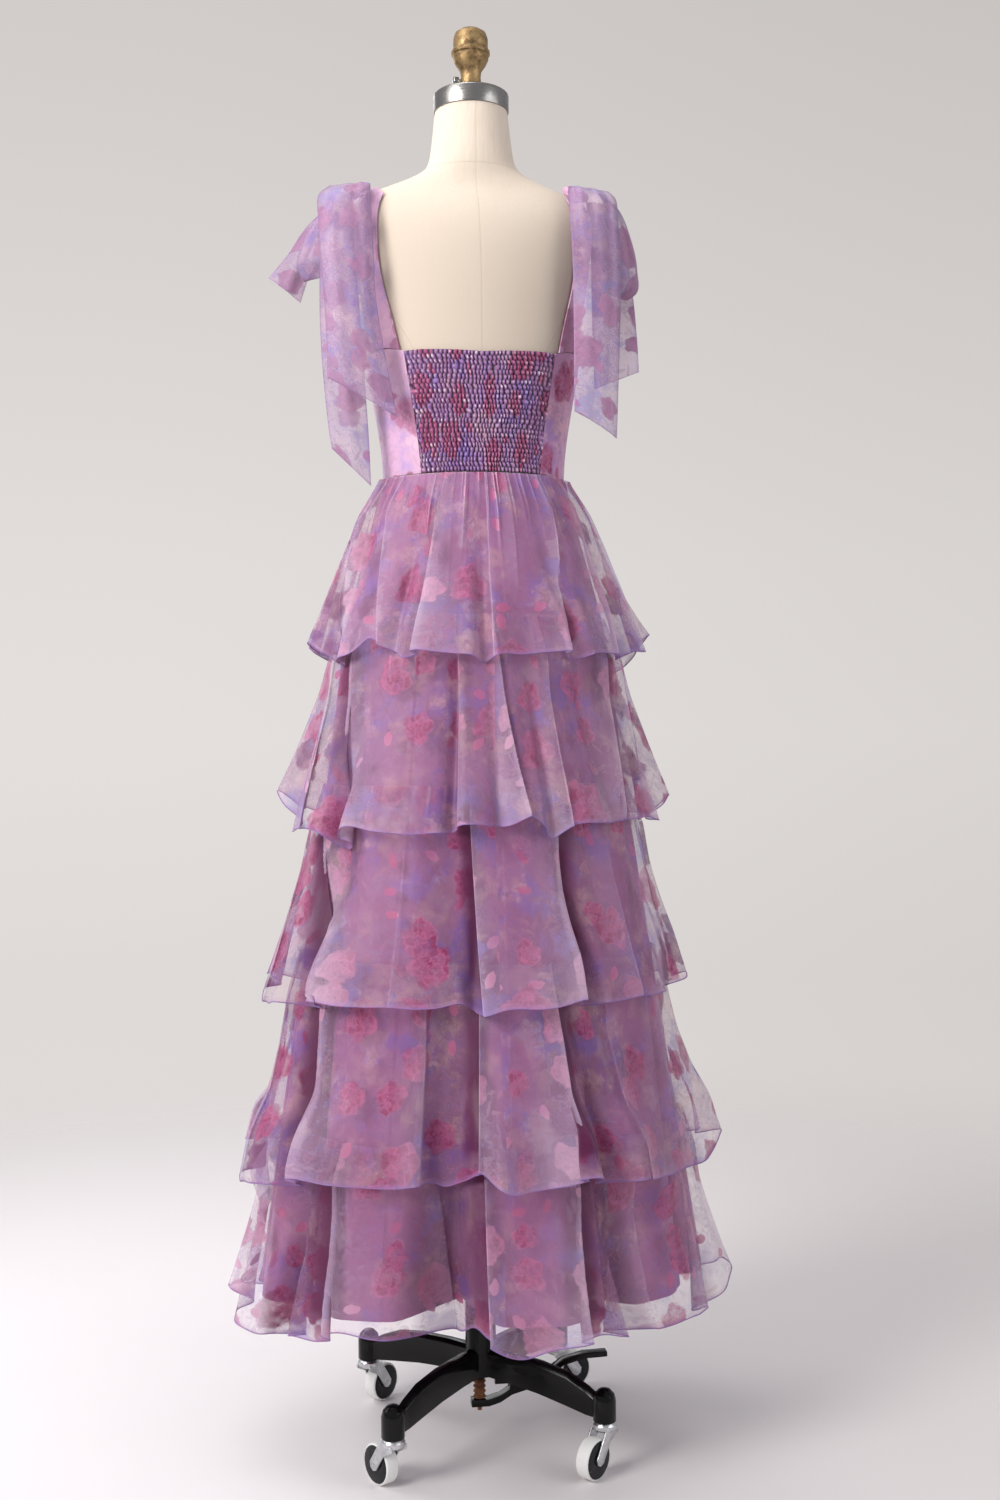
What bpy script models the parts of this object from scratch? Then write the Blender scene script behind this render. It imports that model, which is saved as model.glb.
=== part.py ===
"""Tiered organza dress on a limbless dress form with a castered stand, full size.

Frame: origin on the floor under the pole, +Z up. The form faces +Y, its back is -Y and +X is the
wearer's right. Angles round the body are in degrees from the centre back, growing towards +X.
"""

import math

import bmesh
import bpy
import numpy as np
from mathutils import Matrix, Vector

# ---------------------------------------------------------------- driving dimensions, in metres
SEAM_GAP = 0.0003          # between two pieces that touch
CLOTH_OFF_FORM = 0.0020    # the dress stays this clear of the form
SATIN = 0.0015             # walls of the bodice and of the lining skirt
ORGANZA = 0.0013           # walls of the sheer tiers and of the ribbons

WAIST_Z = 1.240
FORM_TOP_Z = 1.718         # the neck is cut off level here, under the cap
FORM_BOTTOM_Z = 0.935

WHEEL_RADIUS = 0.025
WHEEL_WIDTH = 0.018
CASTER_TRAIL = 0.025       # from the swivel axis to the wheel's axle
CASTER_CIRCLE = 0.186      # from the pole's axis to each swivel axis
BASE_TURN = 2.5            # how far the base stands turned under the form, in degrees
BOSS_BOTTOM_Z = 0.064
BOSS_TOP_Z = 0.104
BOSS_RADIUS = 0.0145
HUB_RADIUS = 0.0200
HUB_BOTTOM_Z = 0.083
HUB_TOP_Z = 0.205
HUB_BORE_RADIUS = 0.0163
STEM_RADIUS = 0.0050
STEM_LENGTH = 0.024
FORK_PLATE_Z = 0.0530      # underside of the plate over the wheel
CHEEK_THICKNESS = 0.0018
AXLE_RADIUS = 0.0030
TUBE_RADIUS = 0.0158       # fixed tube that stands in the hub
TUBE_BOTTOM_Z = 0.125
TUBE_TOP_Z = 0.600
POLE_RADIUS = 0.0120       # sliding pole that carries the form
POLE_BOTTOM_Z = 0.260
ROD_X = -0.002             # the pedal's rod stands here, in the hub's open foot
SPRING_COILS = 4
SPRING_PITCH = 0.0066
PEDAL_PIVOT = Vector((0.045, 0.0, 0.078))
NECK_CAP_RADIUS = 0.0490
SPINDLE_RADIUS = 0.0060    # runs from the pole up through the cap into the finial
SCREW_TURN = 7.5           # the thumb screw points this many degrees towards the back from -X
TURNED_SIDES = 24          # facets of the round hard pieces
WHEEL_SIDES = 24
SMALL_SIDES = 12           # and of the small ones

# Arms of the base from the hub out: reach, top, bottom, half thickness
ARM_SECTIONS = (
    (0.010, 0.1180, 0.0840, 0.0095),
    (0.050, 0.1185, 0.0820, 0.0085),
    (0.095, 0.1170, 0.0780, 0.0078),
    (0.135, 0.1110, 0.0720, 0.0074),
    (0.162, 0.1000, 0.0675, 0.0072),
    (0.184, 0.0870, 0.0660, 0.0070),
)
# Casters in the order of the arms: name and the way each fork's nose points, in degrees
CASTERS = (
    ("front_right", 205.0),
    ("front_left", 225.0),
    ("rear_left", -58.0),
    ("rear_right", 43.0),
)
# Side of a fork cheek, with the nose along +X and the wheel trailing
FORK_CHEEK = (
    (0.0120, 0.0565), (-0.0130, 0.0565), (-0.0325, 0.0275), (-0.0310, 0.0210), (-0.0255, 0.0180),
    (-0.0195, 0.0200), (-0.0040, 0.0420), (0.0120, 0.0505),
)
PEDAL_WIDTH = 0.0150
# Middle line of the pedal lever: x, z, half height
PEDAL_LINE = (
    (-0.0130, 0.0455, 0.0045),
    (0.0100, 0.0455, 0.0045),
    (0.0250, 0.0500, 0.0045),
    (0.0400, 0.0590, 0.0045),
    (0.0600, 0.0640, 0.0042),
    (0.0850, 0.0760, 0.0040),
    (0.1080, 0.0920, 0.0036),
    (0.1350, 0.0990, 0.0032),
    (0.1660, 0.1000, 0.0030),
)
PEDAL_EAR = ((0.0360, 0.0560), (0.0560, 0.0600), (0.0530, 0.0800), (0.0490, 0.0850), (0.0420, 0.0850),
             (0.0380, 0.0800))

# Form: height, half width, depth behind and depth in front of the pole's axis
FORM_SECTIONS = (
    # z      width   back    front
    (0.935, 0.1480, 0.0980, 0.0980),
    (0.962, 0.1600, 0.1110, 0.1070),
    (1.005, 0.1640, 0.1170, 0.1100),
    (1.055, 0.1590, 0.1150, 0.1050),
    (1.110, 0.1450, 0.1040, 0.0980),
    (1.175, 0.1250, 0.0900, 0.0910),
    (1.240, 0.1145, 0.0840, 0.0880),
    (1.290, 0.1185, 0.0860, 0.0950),
    (1.340, 0.1270, 0.0900, 0.1090),
    (1.385, 0.1350, 0.0930, 0.1230),
    (1.420, 0.1390, 0.0930, 0.1260),
    (1.455, 0.1430, 0.0930, 0.1190),
    (1.495, 0.1500, 0.0910, 0.1030),
    (1.535, 0.1570, 0.0850, 0.0850),
    (1.570, 0.1610, 0.0740, 0.0680),
    (1.592, 0.1580, 0.0600, 0.0540),
    (1.607, 0.1400, 0.0500, 0.0480),
    (1.619, 0.1080, 0.0460, 0.0480),
    (1.630, 0.0800, 0.0460, 0.0510),
    (1.640, 0.0620, 0.0480, 0.0540),
    (1.652, 0.0550, 0.0490, 0.0540),
    (1.685, 0.0510, 0.0490, 0.0510),
    (1.718, 0.0475, 0.0475, 0.0475),
)

# Lining skirt before its flutes: height, half width and half depth of its outside
LINING_SECTIONS = (
    # z      width   depth
    (1.238, 0.1183, 0.0905),
    (1.175, 0.1335, 0.1010),
    (1.100, 0.1555, 0.1180),
    (1.050, 0.1680, 0.1270),
    (0.850, 0.1930, 0.1440),
    (0.635, 0.2220, 0.1640),
    (0.420, 0.2480, 0.1840),
    (0.212, 0.2720, 0.1980),
)

# Flutes of each skirt layer at its hem, round the body from the left side over the back.
# at and spread are degrees, and the rest millimetres: reach is out from the plain ring at the
# crest, tuck is in from it at the valley after the flute, dip and tip lower the hem at each.
FLUTES = {
    "lining_skirt": (
        # at  spread reach tuck dip tip
        (-78, 10, 18, 58, 2, -4),
        (-44, 16, 4, 92, 0, -6),
        (14, 15, 22, 60, 0, -4),
        (53, 14, 8, 26, 0, -2),
        (92, 12, 28, 40, 4, -2),
        (127, 13, 10, 62, 0, -4),
        (163, 14, 14, 80, 0, -6),
        (199, 13, 12, 66, 0, -4),
        (234, 13, 14, 44, 2, -4),
        (260, 8, 16, 30, 0, -2),
    ),
    "tier_1": (
        (-76, 9, 16, 12, -6, 14),
        (-46, 9, 6, 12, -6, 0),
        (-18, 12, 14, 10, 4, 8),
        (13, 12, 8, 12, 6, 4),
        (43, 10, 14, 10, 4, 8),
        (70, 10, 12, 14, -4, 6),
        (98, 9, 17, 12, -8, 12),
        (130, 11, 12, 14, 2, 6),
        (163, 12, 14, 12, 6, 4),
        (196, 11, 10, 14, 2, 8),
        (229, 12, 14, 12, -4, 6),
        (258, 8, 12, 10, -10, 8),
    ),
    "tier_2": (
        (-92, 6, 17, 12, -22, -6),
        (-66, 11, 16, 16, 10, 22),
        (-31, 15, 12, 12, 10, 4),
        (-6, 4, 14, 8, 0, -6),
        (9, 6, 8, 12, -4, 14),
        (27, 8, 12, 10, 0, 2),
        (53, 12, 12, 14, -2, -2),
        (82, 9, 14, 14, -12, 4),
        (116, 12, 12, 18, 2, 8),
        (150, 12, 14, 14, 4, 0),
        (184, 13, 10, 18, 8, 6),
        (217, 11, 14, 14, 0, 4),
        (243, 8, 12, 12, -10, 6),
    ),
    "tier_3": (
        (-78, 12, 17, 34, 4, 2),
        (-31, 21, 10, 12, 0, 2),
        (9, 12, 16, 24, 4, 2),
        (43, 15, 10, 14, -2, 0),
        (76, 9, 12, 12, -6, 4),
        (103, 9, 12, 24, 0, 4),
        (138, 15, 12, 26, 2, 2),
        (178, 14, 14, 22, 4, 4),
        (216, 14, 12, 28, 0, 2),
        (253, 11, 14, 16, -4, 4),
    ),
    "tier_4": (
        (-74, 10, 12, 30, 4, 0),
        (-37, 17, 8, 20, 0, -8),
        (-10, 5, -22, 30, -8, -6),
        (9, 10, 18, 46, 2, 0),
        (45, 16, 10, 16, 0, 0),
        (80, 11, 22, 20, -4, 4),
        (112, 11, 12, 30, 0, 2),
        (146, 13, 12, 36, 2, 0),
        (180, 13, 14, 40, 2, -4),
        (215, 13, 12, 32, 0, 0),
        (252, 12, 12, 22, 2, 2),
    ),
    "tier_5": (
        (-77, 10, 20, 56, 2, -2),
        (-44, 17, 6, 76, 0, -6),
        (13, 16, 30, 56, 2, -2),
        (53, 14, 14, 22, 0, 0),
        (90, 12, 30, 38, 0, -2),
        (127, 14, 16, 58, 0, -2),
        (163, 15, 22, 70, 2, -4),
        (199, 14, 20, 58, 0, -2),
        (234, 13, 18, 40, 2, -2),
        (259, 8, 22, 28, 0, -2),
    ),
}

# Tiers: seam and hem heights, plain half width and half depth at the hem, how much higher the hem
# is at the back and front than at the sides, the power by which the tier leaves its seam (under 1
# it stands out at once, as gathers do) and how far its outside stands off the lining at the seam
TIERS = (
    # name     seam_z  hem_z   width   depth   lift    leave off
    ("tier_1", 1.2385, 1.0160, 0.2060, 0.1480, 0.000, 0.66, 0.0011),
    ("tier_2", 1.0600, 0.8060, 0.2380, 0.1740, -0.004, 0.86, 0.0011),
    ("tier_3", 0.8500, 0.5850, 0.2620, 0.1930, 0.004, 0.88, 0.0017),
    ("tier_4", 0.6350, 0.3650, 0.2900, 0.2060, 0.016, 0.80, 0.0018),
    ("tier_5", 0.4200, 0.1830, 0.3030, 0.2180, 0.014, 0.70, 0.0019),
)
FLUTE_GROWTH = 1.3         # power by which a flute opens down its tier
LAYER_GAP = 0.0014         # least gap between two skirt layers
END_MARGIN = 0.0030        # how far past its hem and seam a layer still pushes the next one out
CLEARING_ROUNDS = 20
ANGLE_STEP, HEIGHT_STEP = 0.5, 0.004
OUTLINE_ANGLES = np.arange(0, 360, ANGLE_STEP)
OUTLINE_HEIGHTS = np.arange(0.140, 1.260, HEIGHT_STEP)
LINING_FLUTE_TOP_Z = 1.000
LINING_FLUTE_GROWTH = 1.7
SKIRT_ROWS = 6

# Top edge of the bodice: degrees from the centre back, height
NECKLINE = (
    (0, 1.3885), (44, 1.3930), (60, 1.4000), (75, 1.3960), (90, 1.3900),
    (112, 1.3980), (128, 1.4300), (144, 1.4420), (160, 1.4250), (180, 1.4130),
)
# Bodice panels: seams as degrees at the waist and degrees at the top edge
BODICE_PANELS = (
    # name                 waist from, to    top from, to
    ("back_panel_smocked", -40.0, 40.0, -44.0, 44.0),
    ("side_back_right", 40.0, 90.0, 44.0, 90.0),
    ("side_front_right", 90.0, 146.0, 90.0, 142.0),
    ("front_panel", 146.0, 214.0, 142.0, 218.0),
    ("side_front_left", 214.0, 270.0, 218.0, 270.0),
    ("side_back_left", -90.0, -40.0, -90.0, -44.0),
)
BODICE_ROWS = 6
DEGREES_PER_COLUMN = 10.0

# Knots of the shoulder ties: centre and tilt down the shoulder, then the radii of both
KNOTS = {
    "tie_knot_right": (0.1370, -0.0010, 1.6182, 0.35),
    "tie_knot_left": (-0.1480, -0.0010, 1.6133, -0.45),
}
KNOT_RADII = (0.0190, 0.0130, 0.0090)
# Ribbons of the ties. Columns: middle x, y, z, half width, turn (degrees), slant, cup
TIES = {
    "tie_tail_wide_right": (
        (0.1500, -0.0200, 1.6190, 0.0260, 0, -0.003, 0.0015),
        (0.1500, -0.0420, 1.6050, 0.0310, 4, -0.004, 0.0060),
        (0.1480, -0.0640, 1.5680, 0.0320, 6, -0.002, 0.0070),
        (0.1480, -0.0780, 1.5200, 0.0320, 8, 0.000, 0.0050),
        (0.1470, -0.0850, 1.4600, 0.0310, 6, 0.000, 0.0060),
        (0.1455, -0.0880, 1.3900, 0.0300, 8, 0.000, 0.0050),
        (0.1430, -0.0890, 1.3000, 0.0280, 8, -0.016, 0.0040),
    ),
    "tie_loop_right": (
        (0.1660, 0.0000, 1.6210, 0.0100, 70, 0.000, 0.0010),
        (0.1800, -0.0160, 1.5980, 0.0200, 50, 0.000, 0.0040),
        (0.1930, -0.0220, 1.5600, 0.0230, 46, 0.000, 0.0050),
        (0.2000, -0.0240, 1.5200, 0.0230, 44, 0.000, 0.0050),
        (0.1990, -0.0230, 1.4880, 0.0220, 44, 0.000, 0.0020),
        (0.1880, -0.0140, 1.4820, 0.0210, 44, 0.000, -0.0020),
        (0.1790, -0.0060, 1.5000, 0.0210, 46, 0.000, -0.0040),
        (0.1740, -0.0010, 1.5500, 0.0200, 50, 0.000, -0.0040),
        (0.1720, 0.0060, 1.6080, 0.0100, 56, 0.000, -0.0010),
    ),
    "tie_tail_sheer_right": (
        (0.1660, 0.0210, 1.6150, 0.0120, 10, 0.000, 0.0010),
        (0.1840, 0.0260, 1.5600, 0.0230, 6, 0.000, 0.0030),
        (0.1900, 0.0240, 1.5000, 0.0280, 4, 0.000, 0.0030),
        (0.1920, 0.0180, 1.4400, 0.0300, 2, 0.000, 0.0030),
        (0.1930, 0.0120, 1.3780, 0.0300, 0, 0.012, 0.0030),
    ),
    "tie_tail_wide_left": (
        (-0.1590, -0.0200, 1.6140, 0.0260, 0, 0.003, 0.0015),
        (-0.1670, -0.0420, 1.6000, 0.0320, -4, 0.006, 0.0050),
        (-0.1680, -0.0620, 1.5580, 0.0330, -6, 0.004, 0.0070),
        (-0.1660, -0.0710, 1.5100, 0.0330, -8, 0.000, 0.0060),
        (-0.1630, -0.0760, 1.4550, 0.0320, -6, 0.000, 0.0070),
        (-0.1570, -0.0800, 1.3950, 0.0360, -4, -0.010, 0.0050),
        (-0.1490, -0.0830, 1.3300, 0.0430, -2, -0.024, 0.0040),
    ),
    "tie_tail_long_left": (
        (-0.1680, -0.0290, 1.6000, 0.0110, -30, 0.000, 0.0010),
        (-0.1760, -0.0330, 1.5600, 0.0200, -24, 0.000, 0.0030),
        (-0.1760, -0.0430, 1.5000, 0.0240, -20, 0.000, 0.0030),
        (-0.1740, -0.0450, 1.4300, 0.0260, -16, 0.000, 0.0030),
        (-0.1690, -0.0450, 1.3500, 0.0260, -12, 0.000, 0.0030),
        (-0.1640, -0.0430, 1.2900, 0.0250, -10, -0.004, 0.0030),
        (-0.1610, -0.0420, 1.2500, 0.0245, -8, -0.024, 0.0020),
    ),
    "tie_loop_left": (
        (-0.1760, 0.0070, 1.6100, 0.0090, -70, 0.000, 0.0010),
        (-0.1890, -0.0030, 1.5800, 0.0180, -52, 0.000, 0.0040),
        (-0.2040, -0.0080, 1.5450, 0.0210, -48, 0.000, 0.0040),
        (-0.2110, -0.0100, 1.5100, 0.0210, -46, 0.000, 0.0020),
        (-0.2030, -0.0030, 1.4980, 0.0200, -46, 0.000, -0.0020),
        (-0.1940, 0.0040, 1.5150, 0.0200, -48, 0.000, -0.0040),
        (-0.1830, 0.0120, 1.5550, 0.0180, -54, 0.000, -0.0040),
        (-0.1760, 0.0110, 1.5980, 0.0090, -60, 0.000, -0.0010),
    ),
    "tie_tail_outer_left": (
        (-0.1640, 0.0300, 1.6100, 0.0120, -8, 0.000, 0.0010),
        (-0.1940, 0.0340, 1.5820, 0.0180, -6, 0.006, 0.0030),
        (-0.2180, 0.0360, 1.5420, 0.0200, -4, 0.004, 0.0030),
        (-0.2420, 0.0360, 1.4920, 0.0205, -2, -0.016, 0.0030),
    ),
}

# Shoulder straps on the right side: height of the outer edge, inner and outer edge in degrees
# from the centre back, and how much higher the inner edge is. The first row meets the bodice.
STRAPS = {
    "strap_back": ((1.4000, 47, 69, 0), (1.4350, 50, 72, 0), (1.4700, 54, 73, 0),
                   (1.5050, 55, 73, 0), (1.5450, 53, 71, 0), (1.5780, 51, 68, 0),
                   (1.5980, 50, 66, 0), (1.6010, 62, 71, 0.006), (1.6020, 76, 77, 0.011)),
    "strap_front": ((1.4480, 146, 130, 0), (1.4700, 142, 124, 0), (1.5050, 135, 117, 0),
                    (1.5450, 131, 113, 0), (1.5780, 130, 113, 0), (1.5980, 130, 114, 0),
                    (1.6010, 118, 109, 0.006), (1.6020, 104, 103, 0.011)),
}


# ---------------------------------------------------------------- finishes
def finish(name, colour, roughness, metallic=0.0):
    material = bpy.data.materials.new(name)
    material.use_nodes = True
    shader = material.node_tree.nodes["Principled BSDF"]
    shader.inputs["Base Color"].default_value = (*colour, 1.0)
    shader.inputs["Roughness"].default_value = roughness
    shader.inputs["Metallic"].default_value = metallic
    return material


LINEN_CREAM = (0.78, 0.70, 0.58)
LILAC_ORGANZA = (0.50, 0.33, 0.55)
ROSE_SATIN = (0.58, 0.34, 0.53)
PLUM_SMOCKING = (0.34, 0.20, 0.40)
MAUVE_LINING = (0.42, 0.20, 0.40)
BRUSHED_STEEL = (0.62, 0.62, 0.63)
OLD_BRASS = (0.42, 0.29, 0.14)
BLACK_ENAMEL = (0.012, 0.012, 0.013)
ZINC = (0.55, 0.56, 0.58)
WHITE_NYLON = (0.82, 0.82, 0.80)
RUSTED_STEEL = (0.20, 0.09, 0.05)


# ---------------------------------------------------------------- curves and tables
def lerp(a, b, share):
    return a + (b - a) * share


def read_table(rows, key):
    """Values at key from a table whose first column rises or falls, on one smooth curve."""
    if rows[0][0] > rows[-1][0]:
        rows = rows[::-1]
    key = min(max(key, rows[0][0]), rows[-1][0])
    last = len(rows) - 1
    i = next((k for k in range(last) if key <= rows[k + 1][0]), last - 1)
    step = rows[i + 1][0] - rows[i][0]
    u = (key - rows[i][0]) / step

    def slope(k, column):
        low, high = max(k - 1, 0), min(k + 1, last)
        return (rows[high][column] - rows[low][column]) / (rows[high][0] - rows[low][0])

    values = []
    for column in range(1, len(rows[0])):
        p, q = rows[i][column], rows[i + 1][column]
        m, n = slope(i, column) * step, slope(i + 1, column) * step
        values.append(
            (2 * u**3 - 3 * u**2 + 1) * p
            + (u**3 - 2 * u**2 + u) * m
            + (3 * u**2 - 2 * u**3) * q
            + (u**3 - u**2) * n
        )
    return values


def round_body(angle, width, back, front):
    """Point of a plan outline at an angle from the centre back."""
    turn = math.radians(angle)
    depth = back if math.cos(turn) > 0 else front
    return width * math.sin(turn), -depth * math.cos(turn)


# ---------------------------------------------------------------- meshes
def new_object(name, mesh, material):
    mesh.materials.append(material)
    obj = bpy.data.objects.new(name, mesh)
    bpy.context.scene.collection.objects.link(obj)
    return obj


def mesh_of(name, points, faces):
    mesh = bpy.data.meshes.new(name)
    mesh.from_pydata([tuple(p) for p in points], [], faces)
    mesh.validate()
    return mesh


def shade(mesh, sharp_degrees=35):
    mesh.shade_smooth()
    mesh.set_sharp_from_angle(angle=math.radians(sharp_degrees))


def outward_normals(grid, ring):
    """Unit normal at each point of a grid of rows (top to bottom) and columns (towards +X)."""
    rows, columns = len(grid), len(grid[0])
    found = []
    for r in range(rows):
        line = []
        for c in range(columns):
            up, down = grid[max(r - 1, 0)][c], grid[min(r + 1, rows - 1)][c]
            before = grid[r][(c - 1) % columns] if ring or c else grid[r][c]
            after = grid[r][(c + 1) % columns] if ring or c < columns - 1 else grid[r][c]
            line.append((after - before).cross(up - down).normalized())
        found.append(line)
    return found


def moved(grid, normals, distance):
    return [[p + n * distance for p, n in zip(*lines)] for lines in zip(grid, normals)]


def cloth_wall(name, grid, thickness, material, ring=False):
    """Closed wall whose outside is the grid and whose inside lies thickness behind it."""
    inside = moved(grid, outward_normals(grid, ring), -thickness)
    rows, columns = len(grid), len(grid[0])
    points = [p for line in grid for p in line] + [p for line in inside for p in line]
    faces = []

    def at(side, r, c):
        return side * rows * columns + r * columns + c % columns

    for r in range(rows - 1):
        for c in range(columns if ring else columns - 1):
            faces.append((at(0, r, c), at(0, r + 1, c), at(0, r + 1, c + 1), at(0, r, c + 1)))
            faces.append((at(1, r, c), at(1, r, c + 1), at(1, r + 1, c + 1), at(1, r + 1, c)))
    for c in range(columns if ring else columns - 1):
        faces.append((at(0, 0, c), at(0, 0, c + 1), at(1, 0, c + 1), at(1, 0, c)))
        end = rows - 1
        faces.append((at(0, end, c + 1), at(0, end, c), at(1, end, c), at(1, end, c + 1)))
    if not ring:
        for r in range(rows - 1):
            faces.append((at(0, r + 1, 0), at(0, r, 0), at(1, r, 0), at(1, r + 1, 0)))
            end = columns - 1
            faces.append((at(0, r, end), at(0, r + 1, end), at(1, r + 1, end), at(1, r, end)))
    mesh = mesh_of(name, points, faces)
    shade(mesh)
    return new_object(name, mesh, material)


def turned(name, profile, material, sides=TURNED_SIDES, centre=(0.0, 0.0), first_turn=0.0):
    """Solid of revolution about a vertical axis. The profile is (radius, z) from the bottom up.
    A radius of 0 closes it with a pole; a profile that ends where it starts makes a ring."""
    is_ring = profile[0] == profile[-1]
    rows = profile[:-1] if is_ring else profile
    points, starts = [], []
    for radius, z in rows:
        starts.append(len(points))
        count = sides if radius > 0 else 1
        for k in range(count):
            turn = 2 * math.pi * k / sides + first_turn
            points.append((centre[0] + radius * math.cos(turn), centre[1] + radius * math.sin(turn), z))

    def at(row, k):
        return starts[row] + (k % sides if rows[row][0] > 0 else 0)

    faces = []
    for row in range(len(rows) if is_ring else len(rows) - 1):
        after = (row + 1) % len(rows)
        for k in range(sides):
            corners = (at(row, k), at(row, k + 1), at(after, k + 1), at(after, k))
            corners = tuple(dict.fromkeys(corners))
            if len(corners) > 2:
                faces.append(corners)
    if not is_ring and rows[0][0] > 0:
        faces.append(tuple(at(0, k) for k in reversed(range(sides))))
    if not is_ring and rows[-1][0] > 0:
        faces.append(tuple(at(len(rows) - 1, k) for k in range(sides)))
    mesh = mesh_of(name, points, faces)
    shade(mesh)
    return new_object(name, mesh, material)


def tube(name, inner, outer, low, high, material, **place):
    return turned(name, [(inner, low), (outer, low), (outer, high), (inner, high), (inner, low)],
                  material, **place)


def rod(name, radius, low, high, material, **place):
    return turned(name, [(radius, low), (radius, high)], material, **place)


def lay_down(obj, centre, turn=0.0):
    """Turns a piece made about +Z so that its axis lies level, and moves it to centre.
    A turn of 0 lays it along +X."""
    place = Matrix.Translation(centre) @ Matrix.Rotation(turn, 4, "Z") @ Matrix.Rotation(math.pi / 2, 4, "Y")
    obj.data.transform(place)
    return obj


def pivoted(obj, point):
    """Moves an object's origin to a point of its joint's axis, and leaves its shape in place."""
    obj.data.transform(Matrix.Translation(-Vector(point)))
    obj.location = point
    return obj


def extruded(name, outline, width, material):
    """Prism of an outline in the XZ plane, centred on y = 0."""
    half = width / 2
    points = [(x, side * half, z) for side in (-1, 1) for x, z in outline]
    n = len(outline)
    faces = [tuple(range(n)), tuple(range(2 * n - 1, n - 1, -1))]
    faces += [(k, k + n, (k + 1) % n + n, (k + 1) % n) for k in range(n)]
    mesh = mesh_of(name, points, faces)
    tidy = bmesh.new()
    tidy.from_mesh(mesh)
    bmesh.ops.recalc_face_normals(tidy, faces=tidy.faces)
    tidy.to_mesh(mesh)
    tidy.free()
    return new_object(name, mesh, material)


def fused(main, others, operation="UNION"):
    """Joins or cuts a piece by others with Booleans, and hides the helpers."""
    for other in others:
        step = main.modifiers.new(other.name, "BOOLEAN")
        step.operation = operation
        step.solver = "EXACT"
        step.object = other
        other.hide_render = True
        other.display_type = "WIRE"
    return main


# ---------------------------------------------------------------- dress form
def form_point(angle, z, out=0.0):
    """Point on the form's surface, moved out along its normal."""
    def bare(a, h):
        x, y = round_body(a, *read_table(FORM_SECTIONS, h))
        return Vector((x, y, h))

    here = bare(angle, z)
    if not out:
        return here
    across = bare(angle + 1.0, z) - bare(angle - 1.0, z)
    upward = bare(angle, min(z + 0.003, FORM_TOP_Z)) - bare(angle, z - 0.003)
    return here + across.cross(upward).normalized() * out


def build_form():
    linen = finish("linen", LINEN_CREAM, 0.85)
    columns = 36
    rings = [[form_point(360 * c / columns, z) for c in range(columns)]
             for z, *_ in reversed(FORM_SECTIONS)]
    points = [p for ring in rings for p in ring]
    faces = []
    for r in range(len(rings) - 1):
        for c in range(columns):
            n = (c + 1) % columns
            faces.append((r * columns + c, (r + 1) * columns + c, (r + 1) * columns + n, r * columns + n))
    faces.append(tuple(range(columns)))
    faces.append(tuple((len(rings) - 1) * columns + c for c in reversed(range(columns))))
    mesh = mesh_of("form_torso", points, faces)
    shade(mesh)
    torso = new_object("form_torso", mesh, linen)
    socket = rod("pole_socket", POLE_RADIUS + SEAM_GAP / math.cos(math.pi / TURNED_SIDES) + 0.0002,
                 FORM_BOTTOM_Z - 0.02, FORM_BOTTOM_Z + 0.095, linen)
    fused(torso, [socket], "DIFFERENCE")

    steel = finish("cap_steel", BRUSHED_STEEL, 0.30, 1.0)
    low = FORM_TOP_Z + SEAM_GAP
    turned("neck_cap", [(0.0, low), (NECK_CAP_RADIUS, low), (NECK_CAP_RADIUS, low + 0.022),
                        (NECK_CAP_RADIUS - 0.003, low + 0.0245), (SPINDLE_RADIUS + 0.012, low + 0.0275),
                        (0.0, low + 0.0275)], steel, sides=32)
    cap_top = low + 0.0275

    brass = finish("old_brass", OLD_BRASS, 0.45, 0.9)
    foot = cap_top + SEAM_GAP
    profile = ((0.0, 0.0), (0.0150, 0.0), (0.0150, 0.0040), (0.0125, 0.0065), (0.0125, 0.0200),
               (0.0150, 0.0270), (0.0205, 0.0345), (0.0238, 0.0425), (0.0238, 0.0470),
               (0.0252, 0.0485), (0.0252, 0.0525), (0.0225, 0.0545), (0.0225, 0.0600),
               (0.0215, 0.0680), (0.0180, 0.0760), (0.0120, 0.0810), (0.0, 0.0830))
    turned("finial", [(radius, foot + height) for radius, height in profile], brass, sides=20)

    screw_profile = ((0.0, 0.0), (0.0030, 0.0), (0.0030, 0.0040), (0.0055, 0.0040),
                     (0.0055, 0.0100), (0.0045, 0.0110), (0.0, 0.0110))
    head = turned("thumb_screw", screw_profile, steel, sides=SMALL_SIDES)
    reach = 0.0125 + SEAM_GAP
    turn = math.radians(SCREW_TURN)
    screw_foot = (-reach * math.cos(turn), -reach * math.sin(turn), foot + 0.0130)
    lay_down(head, screw_foot, math.radians(180 + SCREW_TURN))
    pivoted(head, screw_foot)


# ---------------------------------------------------------------- dress: bodice
def neckline(angle):
    folded = abs((angle + 180) % 360 - 180)
    return read_table(NECKLINE, folded)[0]


def build_bodice():
    satin = finish("rose_satin", ROSE_SATIN, 0.45)
    smocking = finish("plum_smocking", PLUM_SMOCKING, 0.75)
    seam_degrees = 0.12    # half of the gap at a seam
    for name, low_from, low_to, top_from, top_to in BODICE_PANELS:
        columns = max(4, round((low_to - low_from) / DEGREES_PER_COLUMN)) + 1
        grid = []
        for r in range(BODICE_ROWS):
            rise = 1 - r / (BODICE_ROWS - 1)
            first = lerp(low_from, top_from, rise) + seam_degrees
            final = lerp(low_to, top_to, rise) - seam_degrees
            line = []
            for c in range(columns):
                angle = lerp(first, final, c / (columns - 1))
                z = lerp(WAIST_Z, neckline(angle), rise)
                line.append(form_point(angle, z, CLOTH_OFF_FORM + SATIN))
            grid.append(line)
        cloth_wall(name, grid, SATIN, smocking if "smocked" in name else satin)


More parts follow.
